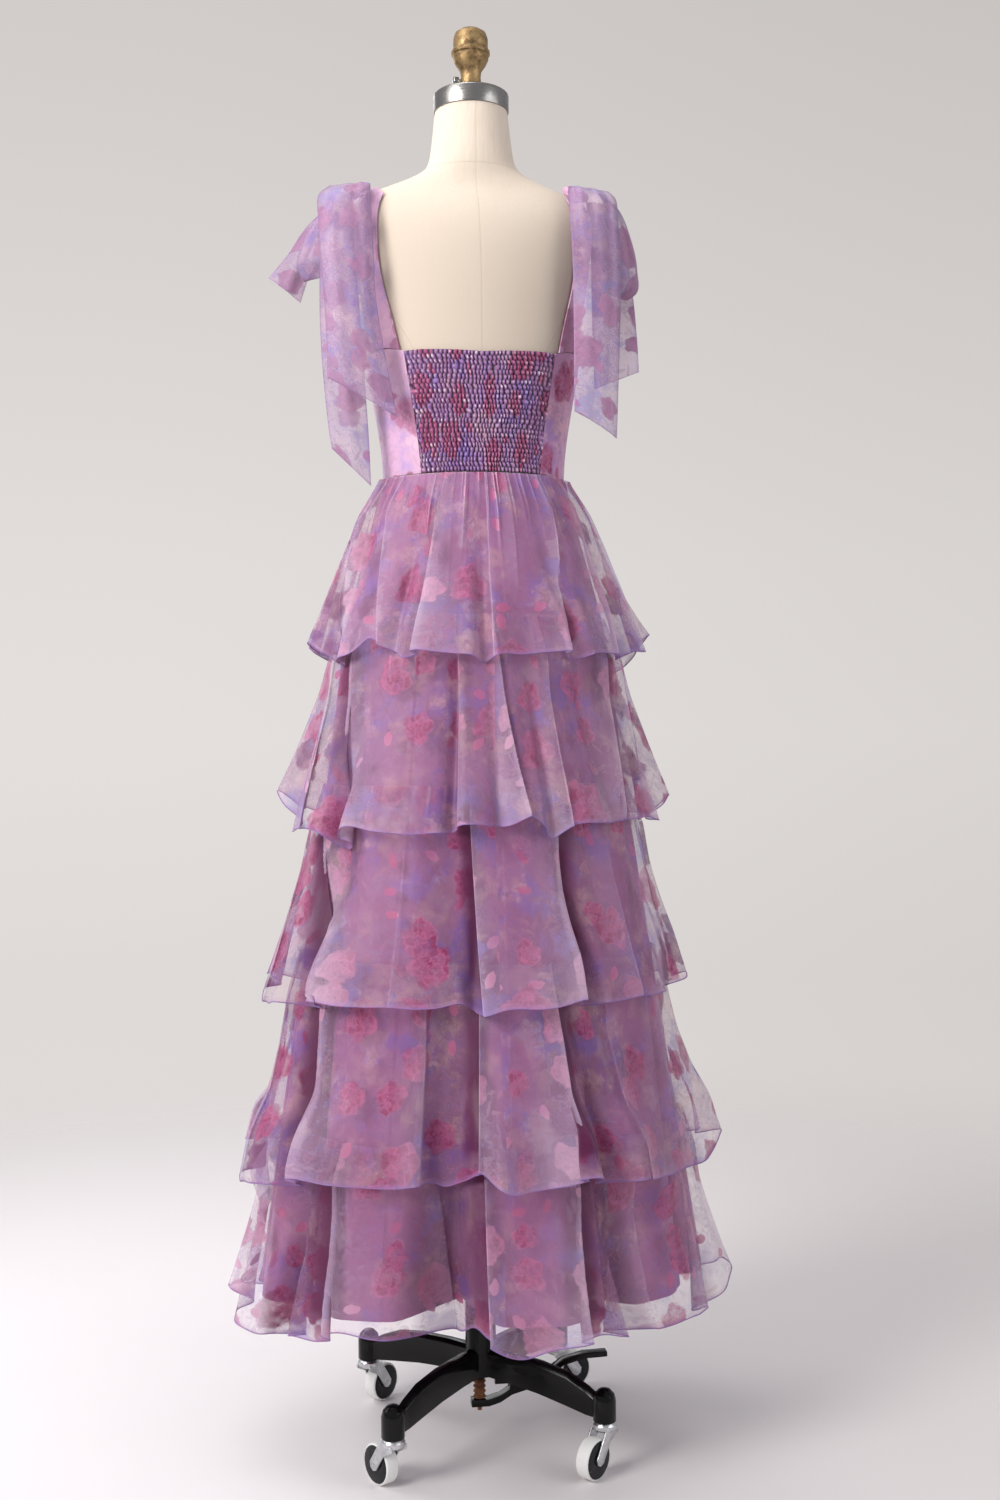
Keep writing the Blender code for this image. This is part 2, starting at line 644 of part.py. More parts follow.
def build_straps():
    satin = finish("strap_satin", ROSE_SATIN, 0.5)
    columns = 4
    for name, rows in STRAPS.items():
        for side, side_name in ((1, "right"), (-1, "left")):
            grid = []
            for z, inner, outer, rise in reversed(rows):
                line = []
                for c in range(columns):
                    share = c / (columns - 1)
                    angle = side * lerp(inner, outer, share)
                    height = z + rise * (1 - share)
                    if z == rows[0][0]:
                        height = neckline(angle) + 0.0008
                    line.append(form_point(angle, height, CLOTH_OFF_FORM + SATIN))
                grid.append(line[::side])
            cloth_wall(f"{name}_{side_name}", grid, SATIN, satin)


# ---------------------------------------------------------------- dress: skirt
def flute_stations(flutes):
    """Two to each shoulder, one on the crest and one in the valley of every flute, as
    (angle at the seam, angle at the hem, millimetres out, millimetres down)."""
    stations = []
    count = len(flutes)
    for k, (at, spread, reach, tuck, dip, tip) in enumerate(flutes):
        before = flutes[k - 1]
        after = flutes[(k + 1) % count]
        before_at = before[0] - (360 if k == 0 else 0)
        after_at = after[0] + (360 if k == count - 1 else 0)
        start = (before_at + before[1] + at - spread) / 2
        end = (at + spread + after_at - after[1]) / 2
        width = end - start
        shoulder = reach * 0.72 - 0.28 * max(tuck, before[3]) * 0.4
        stations.append((start + 0.22 * width, at - spread, shoulder, dip * 0.6 + tip * 0.1))
        stations.append((start + 0.50 * width, at, reach, dip))
        stations.append((start + 0.78 * width, at + spread, shoulder, dip * 0.6 + tip * 0.1))
        stations.append((end, end, -tuck, tip))
    return stations


def lining_point(seam_angle, hem_angle, out_mm, down_mm, z):
    """Point on the outside of the lining skirt."""
    width, depth = read_table(LINING_SECTIONS, z)
    hem_z = LINING_SECTIONS[-1][0]
    grown = max(0.0, (LINING_FLUTE_TOP_Z - z) / (LINING_FLUTE_TOP_Z - hem_z)) ** LINING_FLUTE_GROWTH
    plain = Vector(round_body(seam_angle, width, depth, depth))
    hem = Vector(round_body(hem_angle, width, depth, depth))
    hem += hem.normalized() * out_mm / 1000
    x, y = plain.lerp(hem, grown)
    return Vector((x, y, z - grown * down_mm / 1000))


def on_faces(points, across, down):
    """A point on each face of a ring grid, each face being two triangles split from its first
    corner to its last."""
    rows = np.stack([points[:-1], points[1:]])
    first, low = rows
    beside, last = np.roll(rows, -1, axis=2)
    if down >= across:
        return first + down * (low - first) + across * (last - low)
    return first + across * (beside - first) + down * (last - beside)


def as_array(grid):
    return np.array([[tuple(p) for p in line] for line in grid])


def outline_table(grid, widened=2):
    """Radius of a skirt layer's outside on OUTLINE_HEIGHTS by OUTLINE_ANGLES, 0 past its ends,
    widened sideways by some steps each way so that it also covers the wall on a steep fold."""
    points = as_array(grid)
    shares = np.linspace(0, 1, 5)
    radii, heights = [], []
    for row in range(len(grid) - 1):
        for down in shares:
            x, y, z = np.concatenate([on_faces(points[row:row + 2], across, down)[0]
                                      for across in shares[:-1]]).T
            angles = np.degrees(np.arctan2(x, -y))
            radii.append(np.interp(OUTLINE_ANGLES, angles, np.hypot(x, y), period=360))
            heights.append(np.interp(OUTLINE_ANGLES, angles, z, period=360))
    radii, heights = np.array(radii), np.array(heights)
    heights[0] += END_MARGIN
    heights[-1] -= END_MARGIN
    table = np.array([np.interp(-OUTLINE_HEIGHTS, -heights[:, k], radii[:, k], left=0, right=0)
                      for k in range(len(OUTLINE_ANGLES))]).T
    return np.maximum.reduce([np.roll(table, step, axis=1) for step in range(-widened, widened + 1)])


def outline_radius(table, x, y, z):
    column = np.round(np.degrees(np.arctan2(x, -y)) / ANGLE_STEP).astype(int) % len(OUTLINE_ANGLES)
    row = (z - OUTLINE_HEIGHTS[0]) / HEIGHT_STEP
    low = np.clip(np.floor(row).astype(int), 0, len(OUTLINE_HEIGHTS) - 2)
    return np.maximum(table[low, column], table[low + 1, column])


def clear_layers(grid, table, seam_table, seam_off):
    """Moves a layer's points out, level, until its faces clear the layers under it. Its top row
    keeps close to the lining that it is sewn to."""
    points = as_array(grid)
    shares = np.linspace(0, 1, 9)

    def short_of(points, table, across, down, gap):
        x, y, z = np.moveaxis(on_faces(points, across, down), 2, 0)
        needed = outline_radius(table, x, y, z)
        return np.where(needed > 0, needed + gap - np.hypot(x, y), 0)

    for _ in range(CLEARING_ROUNDS):
        short = np.zeros((len(grid) - 1, len(grid[0])))
        seam = np.full(len(grid[0]), -0.01)
        for across in shares:
            seam = np.maximum(seam, short_of(points, seam_table, across, 0, seam_off)[0])
            for down in shares[1:]:
                short = np.maximum(short, short_of(points, table, across, down, ORGANZA + LAYER_GAP))
        short = np.maximum(short, np.roll(short, 1, axis=1))
        push = np.zeros(points.shape[:2])
        push[1:] = short
        push[1:-1] = np.maximum(push[1:-1], short[1:])
        push[0] = np.maximum(seam, np.roll(seam, 1))
        points[..., :2] *= 1 + 0.7 * push[..., None] / np.hypot(*points[..., :2].T).T[..., None]
    return [[Vector(p) for p in line] for line in points]


def lining_grid():
    stations = flute_stations(FLUTES["lining_skirt"])
    top, bottom = LINING_SECTIONS[0][0], LINING_SECTIONS[-1][0]
    heights = (top, 1.150, 1.050, 0.850, 0.635, 0.490, 0.385, 0.300, bottom)
    return [[lining_point(*station, z) for station in stations] for z in heights]


def tier_grid(name, seam_z, hem_z, width, depth, lift, leave, lining):
    grid = []
    for r in range(SKIRT_ROWS):
        fall = r / (SKIRT_ROWS - 1)
        line = []
        for seam_angle, hem_angle, out_mm, down_mm in flute_stations(FLUTES[name]):
            turn = math.radians(seam_angle)
            toward = Vector((math.sin(turn), -math.cos(turn)))
            start = toward * outline_radius(lining, *toward, np.array(seam_z))
            plain = Vector(round_body(seam_angle, width, depth, depth))
            fluted = Vector(round_body(hem_angle, width, depth, depth))
            fluted += fluted.normalized() * out_mm / 1000
            end_z = hem_z + lift * math.cos(math.radians(hem_angle)) ** 2 - down_mm / 1000
            level = start.lerp(plain, fall**leave) + (fluted - plain) * fall**FLUTE_GROWTH
            line.append(Vector((level.x, level.y, lerp(seam_z, end_z, fall))))
        grid.append(line)
    return grid


def build_skirt():
    """The lining, then the tiers from the lowest up, each clear of what it hangs over."""
    mauve = finish("mauve_lining", MAUVE_LINING, 0.4)
    organza = finish("lilac_organza", LILAC_ORGANZA, 0.5)
    grid = lining_grid()
    cloth_wall("lining_skirt", grid, SATIN, mauve, ring=True)
    bare = outline_table(grid, 1)
    lining = outline_table(grid)
    under = lining
    for *row, seam_off in reversed(TIERS):
        grid = clear_layers(tier_grid(*row, lining), under, bare, seam_off)
        cloth_wall(row[0], grid, ORGANZA, organza, ring=True)
        under = np.maximum(lining, outline_table(grid))


# ---------------------------------------------------------------- dress: shoulder ties
def ribbon(name, rows, material):
    """Hanging ribbon: each row is (x, y, z, half width, turn, slant, cup) of its middle, where
    turn is the width's direction in plan from +X, slant raises the far edge and cup bows it.
    Its first row starts at the knot, and so does a loop's last row."""
    shares = (-1.0, -0.4, 0.4, 1.0)
    grid = []
    for x, y, z, half, turn, slant, cup in rows:
        across = Vector((math.cos(math.radians(turn)), math.sin(math.radians(turn)), 0))
        outward = Vector((across.y, -across.x, 0))
        line = [Vector((x, y, z)) + across * half * s + Vector((0, 0, slant * s))
                + outward * cup * (1 - s * s) for s in shares]
        grid.append(line)
        if len(grid) == 1 or (len(grid) == len(rows) and "loop" in name):
            grid[-1] = drawn_to_knot(line, outward, KNOTS["tie_knot_left" if x < 0 else "tie_knot_right"])
    return cloth_wall(name, grid, ORGANZA, material)


def drawn_to_knot(line, outward, knot_row):
    """A row of ribbon points moved straight towards a knot until it all but touches it."""
    centre = Vector(knot_row[:3])
    turned_back = Matrix.Rotation(-knot_row[3], 3, "Y")
    scale = Vector(1 / radius for radius in KNOT_RADII)

    def clear_by(point):
        local = (turned_back @ (point - centre)) * scale
        return (local.length - 1) * local.length / (local * scale).length

    middle = (line[0] + line[-1]) / 2
    toward = (centre - middle).normalized()
    wanted = 1.5 * SEAM_GAP + (0.8 * ORGANZA if outward.dot(middle - centre) > 0 else 0)
    for _ in range(20):
        nearest = min(clear_by(lerp(p, q, share)) for p, q in zip(line, line[1:]) for share in (0, 0.5, 1))
        line = [p + toward * (nearest - wanted) * 0.8 for p in line]
    return line


def knot(name, material):
    *centre, tilt = KNOTS[name]
    mesh = bpy.data.meshes.new(name)
    shape = bmesh.new()
    bmesh.ops.create_uvsphere(shape, u_segments=12, v_segments=8, radius=1.0)
    bmesh.ops.scale(shape, vec=KNOT_RADII, verts=shape.verts)
    bmesh.ops.rotate(shape, verts=shape.verts, matrix=Matrix.Rotation(tilt, 3, "Y"))
    bmesh.ops.translate(shape, verts=shape.verts, vec=centre)
    shape.to_mesh(mesh)
    shape.free()
    shade(mesh)
    return new_object(name, mesh, material)


def build_ties():
    organza = finish("tie_organza", LILAC_ORGANZA, 0.5)
    for name in KNOTS:
        knot(name, organza)
    for name, rows in TIES.items():
        ribbon(name, rows, organza)


# ---------------------------------------------------------------- stand
def arm_direction(k):
    return math.radians(45 + BASE_TURN + 90 * k)


def build_base():
    enamel = finish("black_enamel", BLACK_ENAMEL, 0.25)
    base = tube("base_casting", HUB_BORE_RADIUS, HUB_RADIUS, HUB_BOTTOM_Z, HUB_TOP_Z, enamel)
    joined, cut = [], []
    for k in range(4):
        turn = arm_direction(k)
        along = Vector((math.cos(turn), math.sin(turn), 0))
        across = Vector((-along.y, along.x, 0))
        points = []
        for reach, top, bottom, half in ARM_SECTIONS:
            shoulder = half * 0.55
            for side, z in ((-half, bottom), (half, bottom), (half, top - 0.005),
                            (shoulder, top), (-shoulder, top), (-half, top - 0.005)):
                points.append(along * reach + across * side + Vector((0, 0, z)))
        n = 6
        faces = [tuple(reversed(range(n))), tuple(range(len(points) - n, len(points)))]
        for r in range(len(ARM_SECTIONS) - 1):
            faces += [(r * n + i, r * n + (i + 1) % n, (r + 1) * n + (i + 1) % n, (r + 1) * n + i)
                      for i in range(n)]
        joined.append(recalculated(new_object(f"arm_{k}", mesh_of(f"arm_{k}", points, faces), enamel)))
        centre = along * CASTER_CIRCLE
        dome = [(0.0, BOSS_BOTTOM_Z), (BOSS_RADIUS, BOSS_BOTTOM_Z)]
        for step in range(4):
            rise = math.pi / 2 * step / 3
            radius = BOSS_RADIUS * math.cos(rise) if step < 3 else 0.0
            dome.append((radius, BOSS_TOP_Z - BOSS_RADIUS + BOSS_RADIUS * math.sin(rise)))
        joined.append(turned(f"boss_{k}", dome, enamel, sides=14, centre=(centre.x, centre.y)))
        cut.append(rod(f"stem_bore_{k}", STEM_RADIUS + 0.0004, BOSS_BOTTOM_Z - 0.01,
                       BOSS_BOTTOM_Z + STEM_LENGTH + 0.001, enamel, sides=SMALL_SIDES,
                       centre=(centre.x, centre.y)))
    joined.append(extruded("pedal_lug", ((0.018, 0.068), (0.052, 0.068), (0.055, 0.078),
                                         (0.052, 0.090), (0.018, 0.100)), 0.008, enamel))
    pin = rod("pedal_pin", 0.0030, -0.0105, 0.0105, enamel, sides=SMALL_SIDES)
    lay_down(pin, PEDAL_PIVOT, math.pi / 2)
    joined.append(pin)
    fused(base, joined)
    bore = rod("hub_bore", HUB_BORE_RADIUS, HUB_BOTTOM_Z - 0.02, HUB_TOP_Z + 0.02, enamel)
    fused(base, [bore, *cut], "DIFFERENCE")

    steel = finish("tube_steel", BRUSHED_STEEL, 0.35, 1.0)
    tube("stand_tube", POLE_RADIUS + 0.0008, TUBE_RADIUS, TUBE_BOTTOM_Z, TUBE_TOP_Z, steel)
    rod("pole", POLE_RADIUS, POLE_BOTTOM_Z, FORM_BOTTOM_Z + 0.094, steel)


def recalculated(obj):
    tidy = bmesh.new()
    tidy.from_mesh(obj.data)
    bmesh.ops.recalc_face_normals(tidy, faces=tidy.faces)
    tidy.to_mesh(obj.data)
    tidy.free()
    return obj


def build_pedal():
    enamel = finish("pedal_enamel", BLACK_ENAMEL, 0.35)
    rust = finish("rusted_steel", RUSTED_STEEL, 0.7, 0.6)
    outline = [(x, z + half) for x, z, half in PEDAL_LINE]
    outline += [(x, z - half) for x, z, half in reversed(PEDAL_LINE)]
    pedal = extruded("pedal", outline, PEDAL_WIDTH, enamel)
    ears = []
    for side in (-1, 1):
        ear = extruded(f"pedal_ear_{side}", PEDAL_EAR, 0.0040, enamel)
        ear.data.transform(Matrix.Translation((0, side * 0.0064, 0)))
        ears.append(ear)
    fused(pedal, ears)
    hole = rod("pin_hole", 0.0034, -0.02, 0.02, enamel, sides=SMALL_SIDES)
    lay_down(hole, PEDAL_PIVOT, math.pi / 2)
    rod_hole = rod("rod_hole", 0.0036, 0.02, 0.07, enamel, sides=SMALL_SIDES, centre=(ROD_X, 0))
    fused(pedal, [hole, rod_hole], "DIFFERENCE")
    pivoted(pedal, PEDAL_PIVOT)
    pad_top = PEDAL_LINE[0][1] + PEDAL_LINE[0][2]
    pad_low = PEDAL_LINE[0][1] - PEDAL_LINE[0][2]
    spring_foot = pad_top + SEAM_GAP
    coils = [(0.0, pad_low - 0.006), (0.0030, pad_low - 0.006), (0.0030, spring_foot)]
    for k in range(SPRING_COILS):
        foot = spring_foot + k * SPRING_PITCH
        coils += [(0.0065, foot + 0.0004), (0.0085, foot + SPRING_PITCH * 0.35)]
        coils += [(0.0065, foot + SPRING_PITCH * 0.8)]
    top = spring_foot + SPRING_COILS * SPRING_PITCH
    coils += [(0.0030, top), (0.0030, top + 0.012), (0.0, top + 0.012)]
    pedal_rod = turned("pedal_rod", coils, rust, sides=SMALL_SIDES, centre=(ROD_X, 0))
    pivoted(pedal_rod, PEDAL_PIVOT)


def build_casters():
    zinc = finish("zinc", ZINC, 0.35, 1.0)
    nylon = finish("white_nylon", WHITE_NYLON, 0.4)
    cover = finish("wheel_black", BLACK_ENAMEL, 0.35)
    axle_z = WHEEL_RADIUS * math.cos(math.pi / WHEEL_SIDES)
    for k, (name, swivel) in enumerate(CASTERS):
        turn = arm_direction(k)
        at = Vector((math.cos(turn), math.sin(turn), 0)) * CASTER_CIRCLE
        place = {"sides": SMALL_SIDES, "centre": (at.x, at.y)}
        plate_top = BOSS_BOTTOM_Z - SEAM_GAP
        fork = turned(f"caster_fork_{name}",
                      [(0.0, FORK_PLATE_Z), (0.0135, FORK_PLATE_Z), (0.0150, FORK_PLATE_Z + 0.002),
                       (0.0150, plate_top - 0.004), (0.0120, plate_top), (STEM_RADIUS, plate_top),
                       (STEM_RADIUS, plate_top + STEM_LENGTH), (0.0, plate_top + STEM_LENGTH)],
                      zinc, **place)
        frame = Matrix.Translation((at.x, at.y, 0)) @ Matrix.Rotation(math.radians(swivel), 4, "Z")
        cheeks = []
        for side in (-1, 1):
            cheek = extruded(f"cheek_{name}_{side}", FORK_CHEEK, CHEEK_THICKNESS, zinc)
            lift = side * (WHEEL_WIDTH / 2 + 0.0012 + CHEEK_THICKNESS / 2)
            cheek.data.transform(frame @ Matrix.Translation((0, lift, 0)))
            cheeks.append(cheek)
        half_axle = WHEEL_WIDTH / 2 + 0.0012 + CHEEK_THICKNESS + 0.0012
        axle = rod(f"axle_{name}", AXLE_RADIUS, -half_axle, half_axle, zinc, sides=SMALL_SIDES)
        lay_down(axle, (-CASTER_TRAIL, 0, axle_z), math.pi / 2)
        axle.data.transform(frame)
        fused(fork, [*cheeks, axle])
        pivoted(fork, (at.x, at.y, BOSS_BOTTOM_Z))

        half = WHEEL_WIDTH / 2
        core = turned(f"wheel_core_{name}",
                      [(AXLE_RADIUS + 0.0006, -half + 0.0005), (0.0225, -half), (0.0225, half),
                       (AXLE_RADIUS + 0.0006, half - 0.0005), (AXLE_RADIUS + 0.0006, -half + 0.0005)],
                      cover, sides=20)
        tread = turned(f"wheel_tread_{name}",
                       [(0.0225 + SEAM_GAP, -half), (WHEEL_RADIUS - 0.0015, -half),
                        (WHEEL_RADIUS, -half + 0.0015), (WHEEL_RADIUS, half - 0.0015),
                        (WHEEL_RADIUS - 0.0015, half), (0.0225 + SEAM_GAP, half),
                        (0.0225 + SEAM_GAP, -half)], nylon,
                       sides=WHEEL_SIDES, first_turn=math.pi / WHEEL_SIDES)
        for piece in (core, tread):
            lay_down(piece, (-CASTER_TRAIL, 0, axle_z), math.pi / 2)
            piece.data.transform(frame)
            pivoted(piece, frame @ Vector((-CASTER_TRAIL, 0, axle_z)))


# ---------------------------------------------------------------- scene
def clear_scene():
    for obj in list(bpy.data.objects):
        bpy.data.objects.remove(obj)


def main():
    clear_scene()
    build_form()
    build_bodice()
    build_straps()
    build_skirt()
    build_ties()
    build_base()
    build_pedal()
    build_casters()


main()
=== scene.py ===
import math
from collections import namedtuple

import bmesh
import bpy
import numpy as np
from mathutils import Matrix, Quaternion, Vector
from mathutils.bvhtree import BVHTree


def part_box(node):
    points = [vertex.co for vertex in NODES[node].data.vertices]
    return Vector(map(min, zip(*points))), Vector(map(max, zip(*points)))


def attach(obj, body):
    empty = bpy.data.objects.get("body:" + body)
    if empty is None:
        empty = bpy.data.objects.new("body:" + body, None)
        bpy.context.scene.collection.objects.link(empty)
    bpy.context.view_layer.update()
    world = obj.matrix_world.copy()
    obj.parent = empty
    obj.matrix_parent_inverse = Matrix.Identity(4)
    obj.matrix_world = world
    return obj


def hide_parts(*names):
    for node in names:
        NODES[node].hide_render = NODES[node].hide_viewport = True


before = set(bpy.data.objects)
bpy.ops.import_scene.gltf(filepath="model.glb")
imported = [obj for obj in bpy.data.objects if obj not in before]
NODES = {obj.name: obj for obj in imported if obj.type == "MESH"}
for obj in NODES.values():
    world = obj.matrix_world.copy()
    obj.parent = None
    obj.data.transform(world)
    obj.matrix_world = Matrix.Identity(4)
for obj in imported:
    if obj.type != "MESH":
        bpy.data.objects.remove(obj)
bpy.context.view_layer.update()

# Angles on the dress are degrees from the centre back (-Y) towards +X, as in the part.
COLUMNS = 1080
CENTRE_BACK_SEAM = 0.7
TURNS = CENTRE_BACK_SEAM + np.arange(COLUMNS) * 360.0 / COLUMNS
SINES = np.sin(np.radians(TURNS))
TIER_ROWS = 38
LINING_ROWS = 48
COARSE = 360                  # directions in which a solid's outside is measured
HEIGHTS = np.arange(0.140, 1.260, 0.004)
LAYER_GAP = 0.0012
TIER_EDGE_RADIUS = 0.00065    # of a tier's rolled hem
LINING_SEAM_Z = 1.2380

CAMERA_TURN = math.radians(-7.5)    # a little to the left of the centre back
CAMERA_ROLL = math.radians(-0.45)
CAMERA_AWAY = 2.16
CAMERA_HEIGHT = 0.91

FULL_TURN = 6.283
MIDDLE = (0.5, 0.5, 0.5)      # mean of a coloured noise


# ---------------------------------------------------------------- camera, light, floor
def placed(name, data, place=(0.0, 0.0, 0.0)):
    """A new object with this data in the scene."""
    obj = bpy.data.objects.new(name, data)
    bpy.context.scene.collection.objects.link(obj)
    obj.location = place
    return obj


def aimed(holder, look):
    """Turns a camera or a light to look along this vector."""
    holder.rotation_mode = "QUATERNION"
    holder.rotation_quaternion = look.to_track_quat("-Z", "Y")


def place_camera():
    """Level camera behind the dress."""
    camera = bpy.data.cameras.new("camera")
    camera.lens = 39.89
    camera.sensor_width = 36.0
    camera.shift_x = 0.01607
    camera.shift_y = -0.00933
    camera.clip_end = 60.0
    sine, cosine = math.sin(CAMERA_TURN), math.cos(CAMERA_TURN)
    holder = placed("camera", camera, (sine * CAMERA_AWAY, -cosine * CAMERA_AWAY, CAMERA_HEIGHT))
    aimed(holder, Vector((-sine, cosine, 0.0)))
    holder.rotation_quaternion = holder.rotation_quaternion @ Quaternion((0, 0, 1), CAMERA_ROLL)
    bpy.context.scene.camera = holder


def soft_light(name, place, target, size, watts, colour=(1.0, 1.0, 1.0), spread=180):
    light = bpy.data.lights.new(name, "AREA")
    light.shape = "DISK"
    light.size = size
    light.energy = watts
    light.color = colour
    light.spread = math.radians(spread)
    aimed(placed(name, light, place), Vector(target) - Vector(place))


# ---------------------------------------------------------------- shader helpers
class Value:
    """A number, vector or colour in a node tree. Arithmetic on it adds the nodes that do it."""

    def __init__(self, tree, socket):
        self.tree, self.socket = tree, socket

    def made(self, operation, *others):
        kind = "Math" if self.socket.type == "VALUE" else "VectorMath"
        return put(self.tree, kind, dict(enumerate((self, *others))), operation=operation)[0]

    def __add__(self, other):
        return self.made("ADD", other)

    def __sub__(self, other):
        return self.made("SUBTRACT", other)

    def __mul__(self, other):
        return self.made("MULTIPLY", other)

    def __truediv__(self, other):
        return self.made("DIVIDE", other)

    def __pow__(self, other):
        return self.made("POWER", other)

    def __abs__(self):
        return self.made("ABSOLUTE")

    def times_plus(self, factor, added):
        return self.made("MULTIPLY_ADD", factor, added)

    def sine(self):
        return self.made("SINE")

    def cosine(self):
        return self.made("COSINE")

    def at_least(self, other):
        return self.made("MAXIMUM", other)

    def scaled(self, factor):
        """A vector times one plain number."""
        sockets = {0: self, "Scale": factor}
        return put(self.tree, "VectorMath", sockets, operation="SCALE")[0]

    def split(self):
        """The x, y and z of a vector."""
        return put(self.tree, "SeparateXYZ", {0: self})

    def length(self):
        return put(self.tree, "VectorMath", {0: self}, operation="LENGTH")["Value"]

    def step(self, low, high, to_low=0.0, to_high=1.0):
        """Smooth change from to_low to to_high as the number goes from low to high."""
        sockets = {"Value": self, "From Min": low, "From Max": high,
                   "To Min": to_low, "To Max": to_high}
        return put(self.tree, "MapRange", sockets, interpolation_type="SMOOTHSTEP")[0]

    def noise(self, scale, detail=2.0, rough=0.5, kind="Fac"):
        """Clouds at the place that this vector gives."""
        sockets = {"Vector": self, "Scale": scale, "Detail": detail, "Roughness": rough}
        return put(self.tree, "TexNoise", sockets)[kind]

    def cells(self, scale, uneven, flat, feature="F1"):
        """Random cells at the place that this vector gives."""
        sockets = {"Vector": self, "Scale": scale, "Randomness": uneven}
        return put(self.tree, "TexVoronoi", sockets, feature=feature,
                   voronoi_dimensions="2D" if flat else "3D")


class Outputs:
    """The outputs of a node, by name or number, as Values."""

    def __init__(self, tree, sockets):
        self.tree, self.sockets = tree, sockets

    def __getitem__(self, key):
        return Value(self.tree, self.sockets[key])


def fill(socket, value):
    """Links a Value to the socket, or sets the socket to a plain value."""
    if isinstance(value, Value):
        value.tree.links.new(value.socket, socket)
    else:
        socket.default_value = value


def put(tree, kind, sockets=None, **settings):
    """The outputs of a new shader node with its settings and sockets filled."""
    node = tree.nodes.new("ShaderNode" + kind)
    for key, value in settings.items():
        setattr(node, key, value)
    for key, value in (sockets or {}).items():
        fill(node.inputs[key], value)
    return Outputs(tree, node.outputs)


def blend(share, first, second):
    """Colour that goes from the first to the second as share goes from 0 to 1."""
    tree = next(value.tree for value in (share, first, second) if isinstance(value, Value))
    first, second = ((*tone, 1.0) if isinstance(tone, tuple) else tone for tone in (first, second))
    return put(tree, "Mix", {0: share, 6: first, 7: second}, data_type="RGBA")[2]


def painted(colour, *marks):
    """Colour with each (mask, strength, tone) laid over it in turn."""
    for mask, strength, tone in marks:
        colour = blend(mask * strength, colour, tone)
    return colour


def bump(height, strength, distance):
    sockets = {"Height": height, "Strength": strength, "Distance": distance}
    return put(height.tree, "Bump", sockets)[0]


def new_group(name, inputs, outputs):
    """Node group with named inputs (name, kind, start value) and outputs (name, kind)."""
    tree = bpy.data.node_groups.new(name, "ShaderNodeTree")
    for label, kind, value in inputs:
        socket = tree.interface.new_socket(
            label, in_out="INPUT", socket_type="NodeSocket" + kind)
        if value is not None:
            socket.default_value = value
    for label, kind in outputs:
        tree.interface.new_socket(label, in_out="OUTPUT", socket_type="NodeSocket" + kind)
    given = Outputs(tree, tree.nodes.new("NodeGroupInput").outputs)
    return tree, given, tree.nodes.new("NodeGroupOutput").inputs


def feed(material, **values):
    """Sets or links sockets of the Principled shader. An underscore stands for a space."""
    shader = material.node_tree.nodes["Principled BSDF"]
    for key, value in values.items():
        fill(shader.inputs[key.replace("_", " ")], value)
    return material


def new_material(name, **constants):
    material = bpy.data.materials.new(name)
    material.use_nodes = True
    return feed(material, **constants), material.node_tree


# ---------------------------------------------------------------- print
# A place's x, y and distance from the random spot of its cell, and that cell's random numbers
Spot = namedtuple("Spot", "x y distance chance")


def scattered(place, scale, offset):
    """A loose scatter with one spot in each cell."""
    moved = place.scaled(scale) + offset
    cell = moved.cells(1.0, 0.85, True)
    away = (moved - cell["Position"]).split()
    chance = put(place.tree, "SeparateColor", {0: cell["Color"]})
    return Spot(away[0], away[1], cell["Distance"], chance)


def turn_round(spot):
    """Angle round the spot, from a random start."""
    return spot.y.made("ARCTAN2", spot.x) + spot.chance[1] * FULL_TURN


def blossom(spot, size, lobes, depth, ragged):
    """Mask of a flower with soft lobes, its distance as a share of its radius, and the angle."""
    turn = turn_round(spot)
    edge = (turn * lobes).sine().times_plus(depth, 1.0)
    radius = edge * spot.chance[2].times_plus(size * 0.5, size * 0.75)
    share = spot.distance / radius + ragged
    return share.step(1.10, 0.80), share, turn


def leaf(spot, long, wide):
    """Mask of a small pointed leaf or bud, turned at random."""
    turn = spot.chance[1] * FULL_TURN
    cosine, sine = turn.cosine(), turn.sine()
    along = (spot.x * cosine + spot.y * sine) / long
    across = (spot.y * cosine - spot.x * sine) / wide
    return (abs(along) ** 2.0 + abs(across) ** 1.6).step(1.15, 0.75)


def rose(spot, size, ragged):
    """Mask of a full rose of this radius, and how pale each place in it is among its petals."""
    turn = turn_round(spot)
    wave = (turn * 5.0).sine() * 0.09 + turn.times_plus(3.0, 1.3).sine() * 0.08
    radius = (wave + 1.0) * spot.chance[2].times_plus(size * 0.35, size * 0.82)
    share = spot.distance / radius + ragged
    ring = (abs(share) + 0.05).made("LOGARITHM", 2.718)
    coil = put(turn.tree, "CombineXYZ", {
        0: turn.cosine() * 0.85, 1: turn.sine() * 0.85,
        2: ring.times_plus(1.35, spot.chance[0] * 9.0)})[0]
    petal_edge = coil.cells(1.5, 0.9, False, "DISTANCE_TO_EDGE")["Distance"]
    petal_tone = put(turn.tree, "SeparateColor", {0: coil.cells(1.5, 0.9, False)["Color"]})[0]
    pale = petal_edge.step(0.20, 0.0).times_plus(0.42, petal_tone * 0.50)
    return share.step(1.08, 0.84), pale


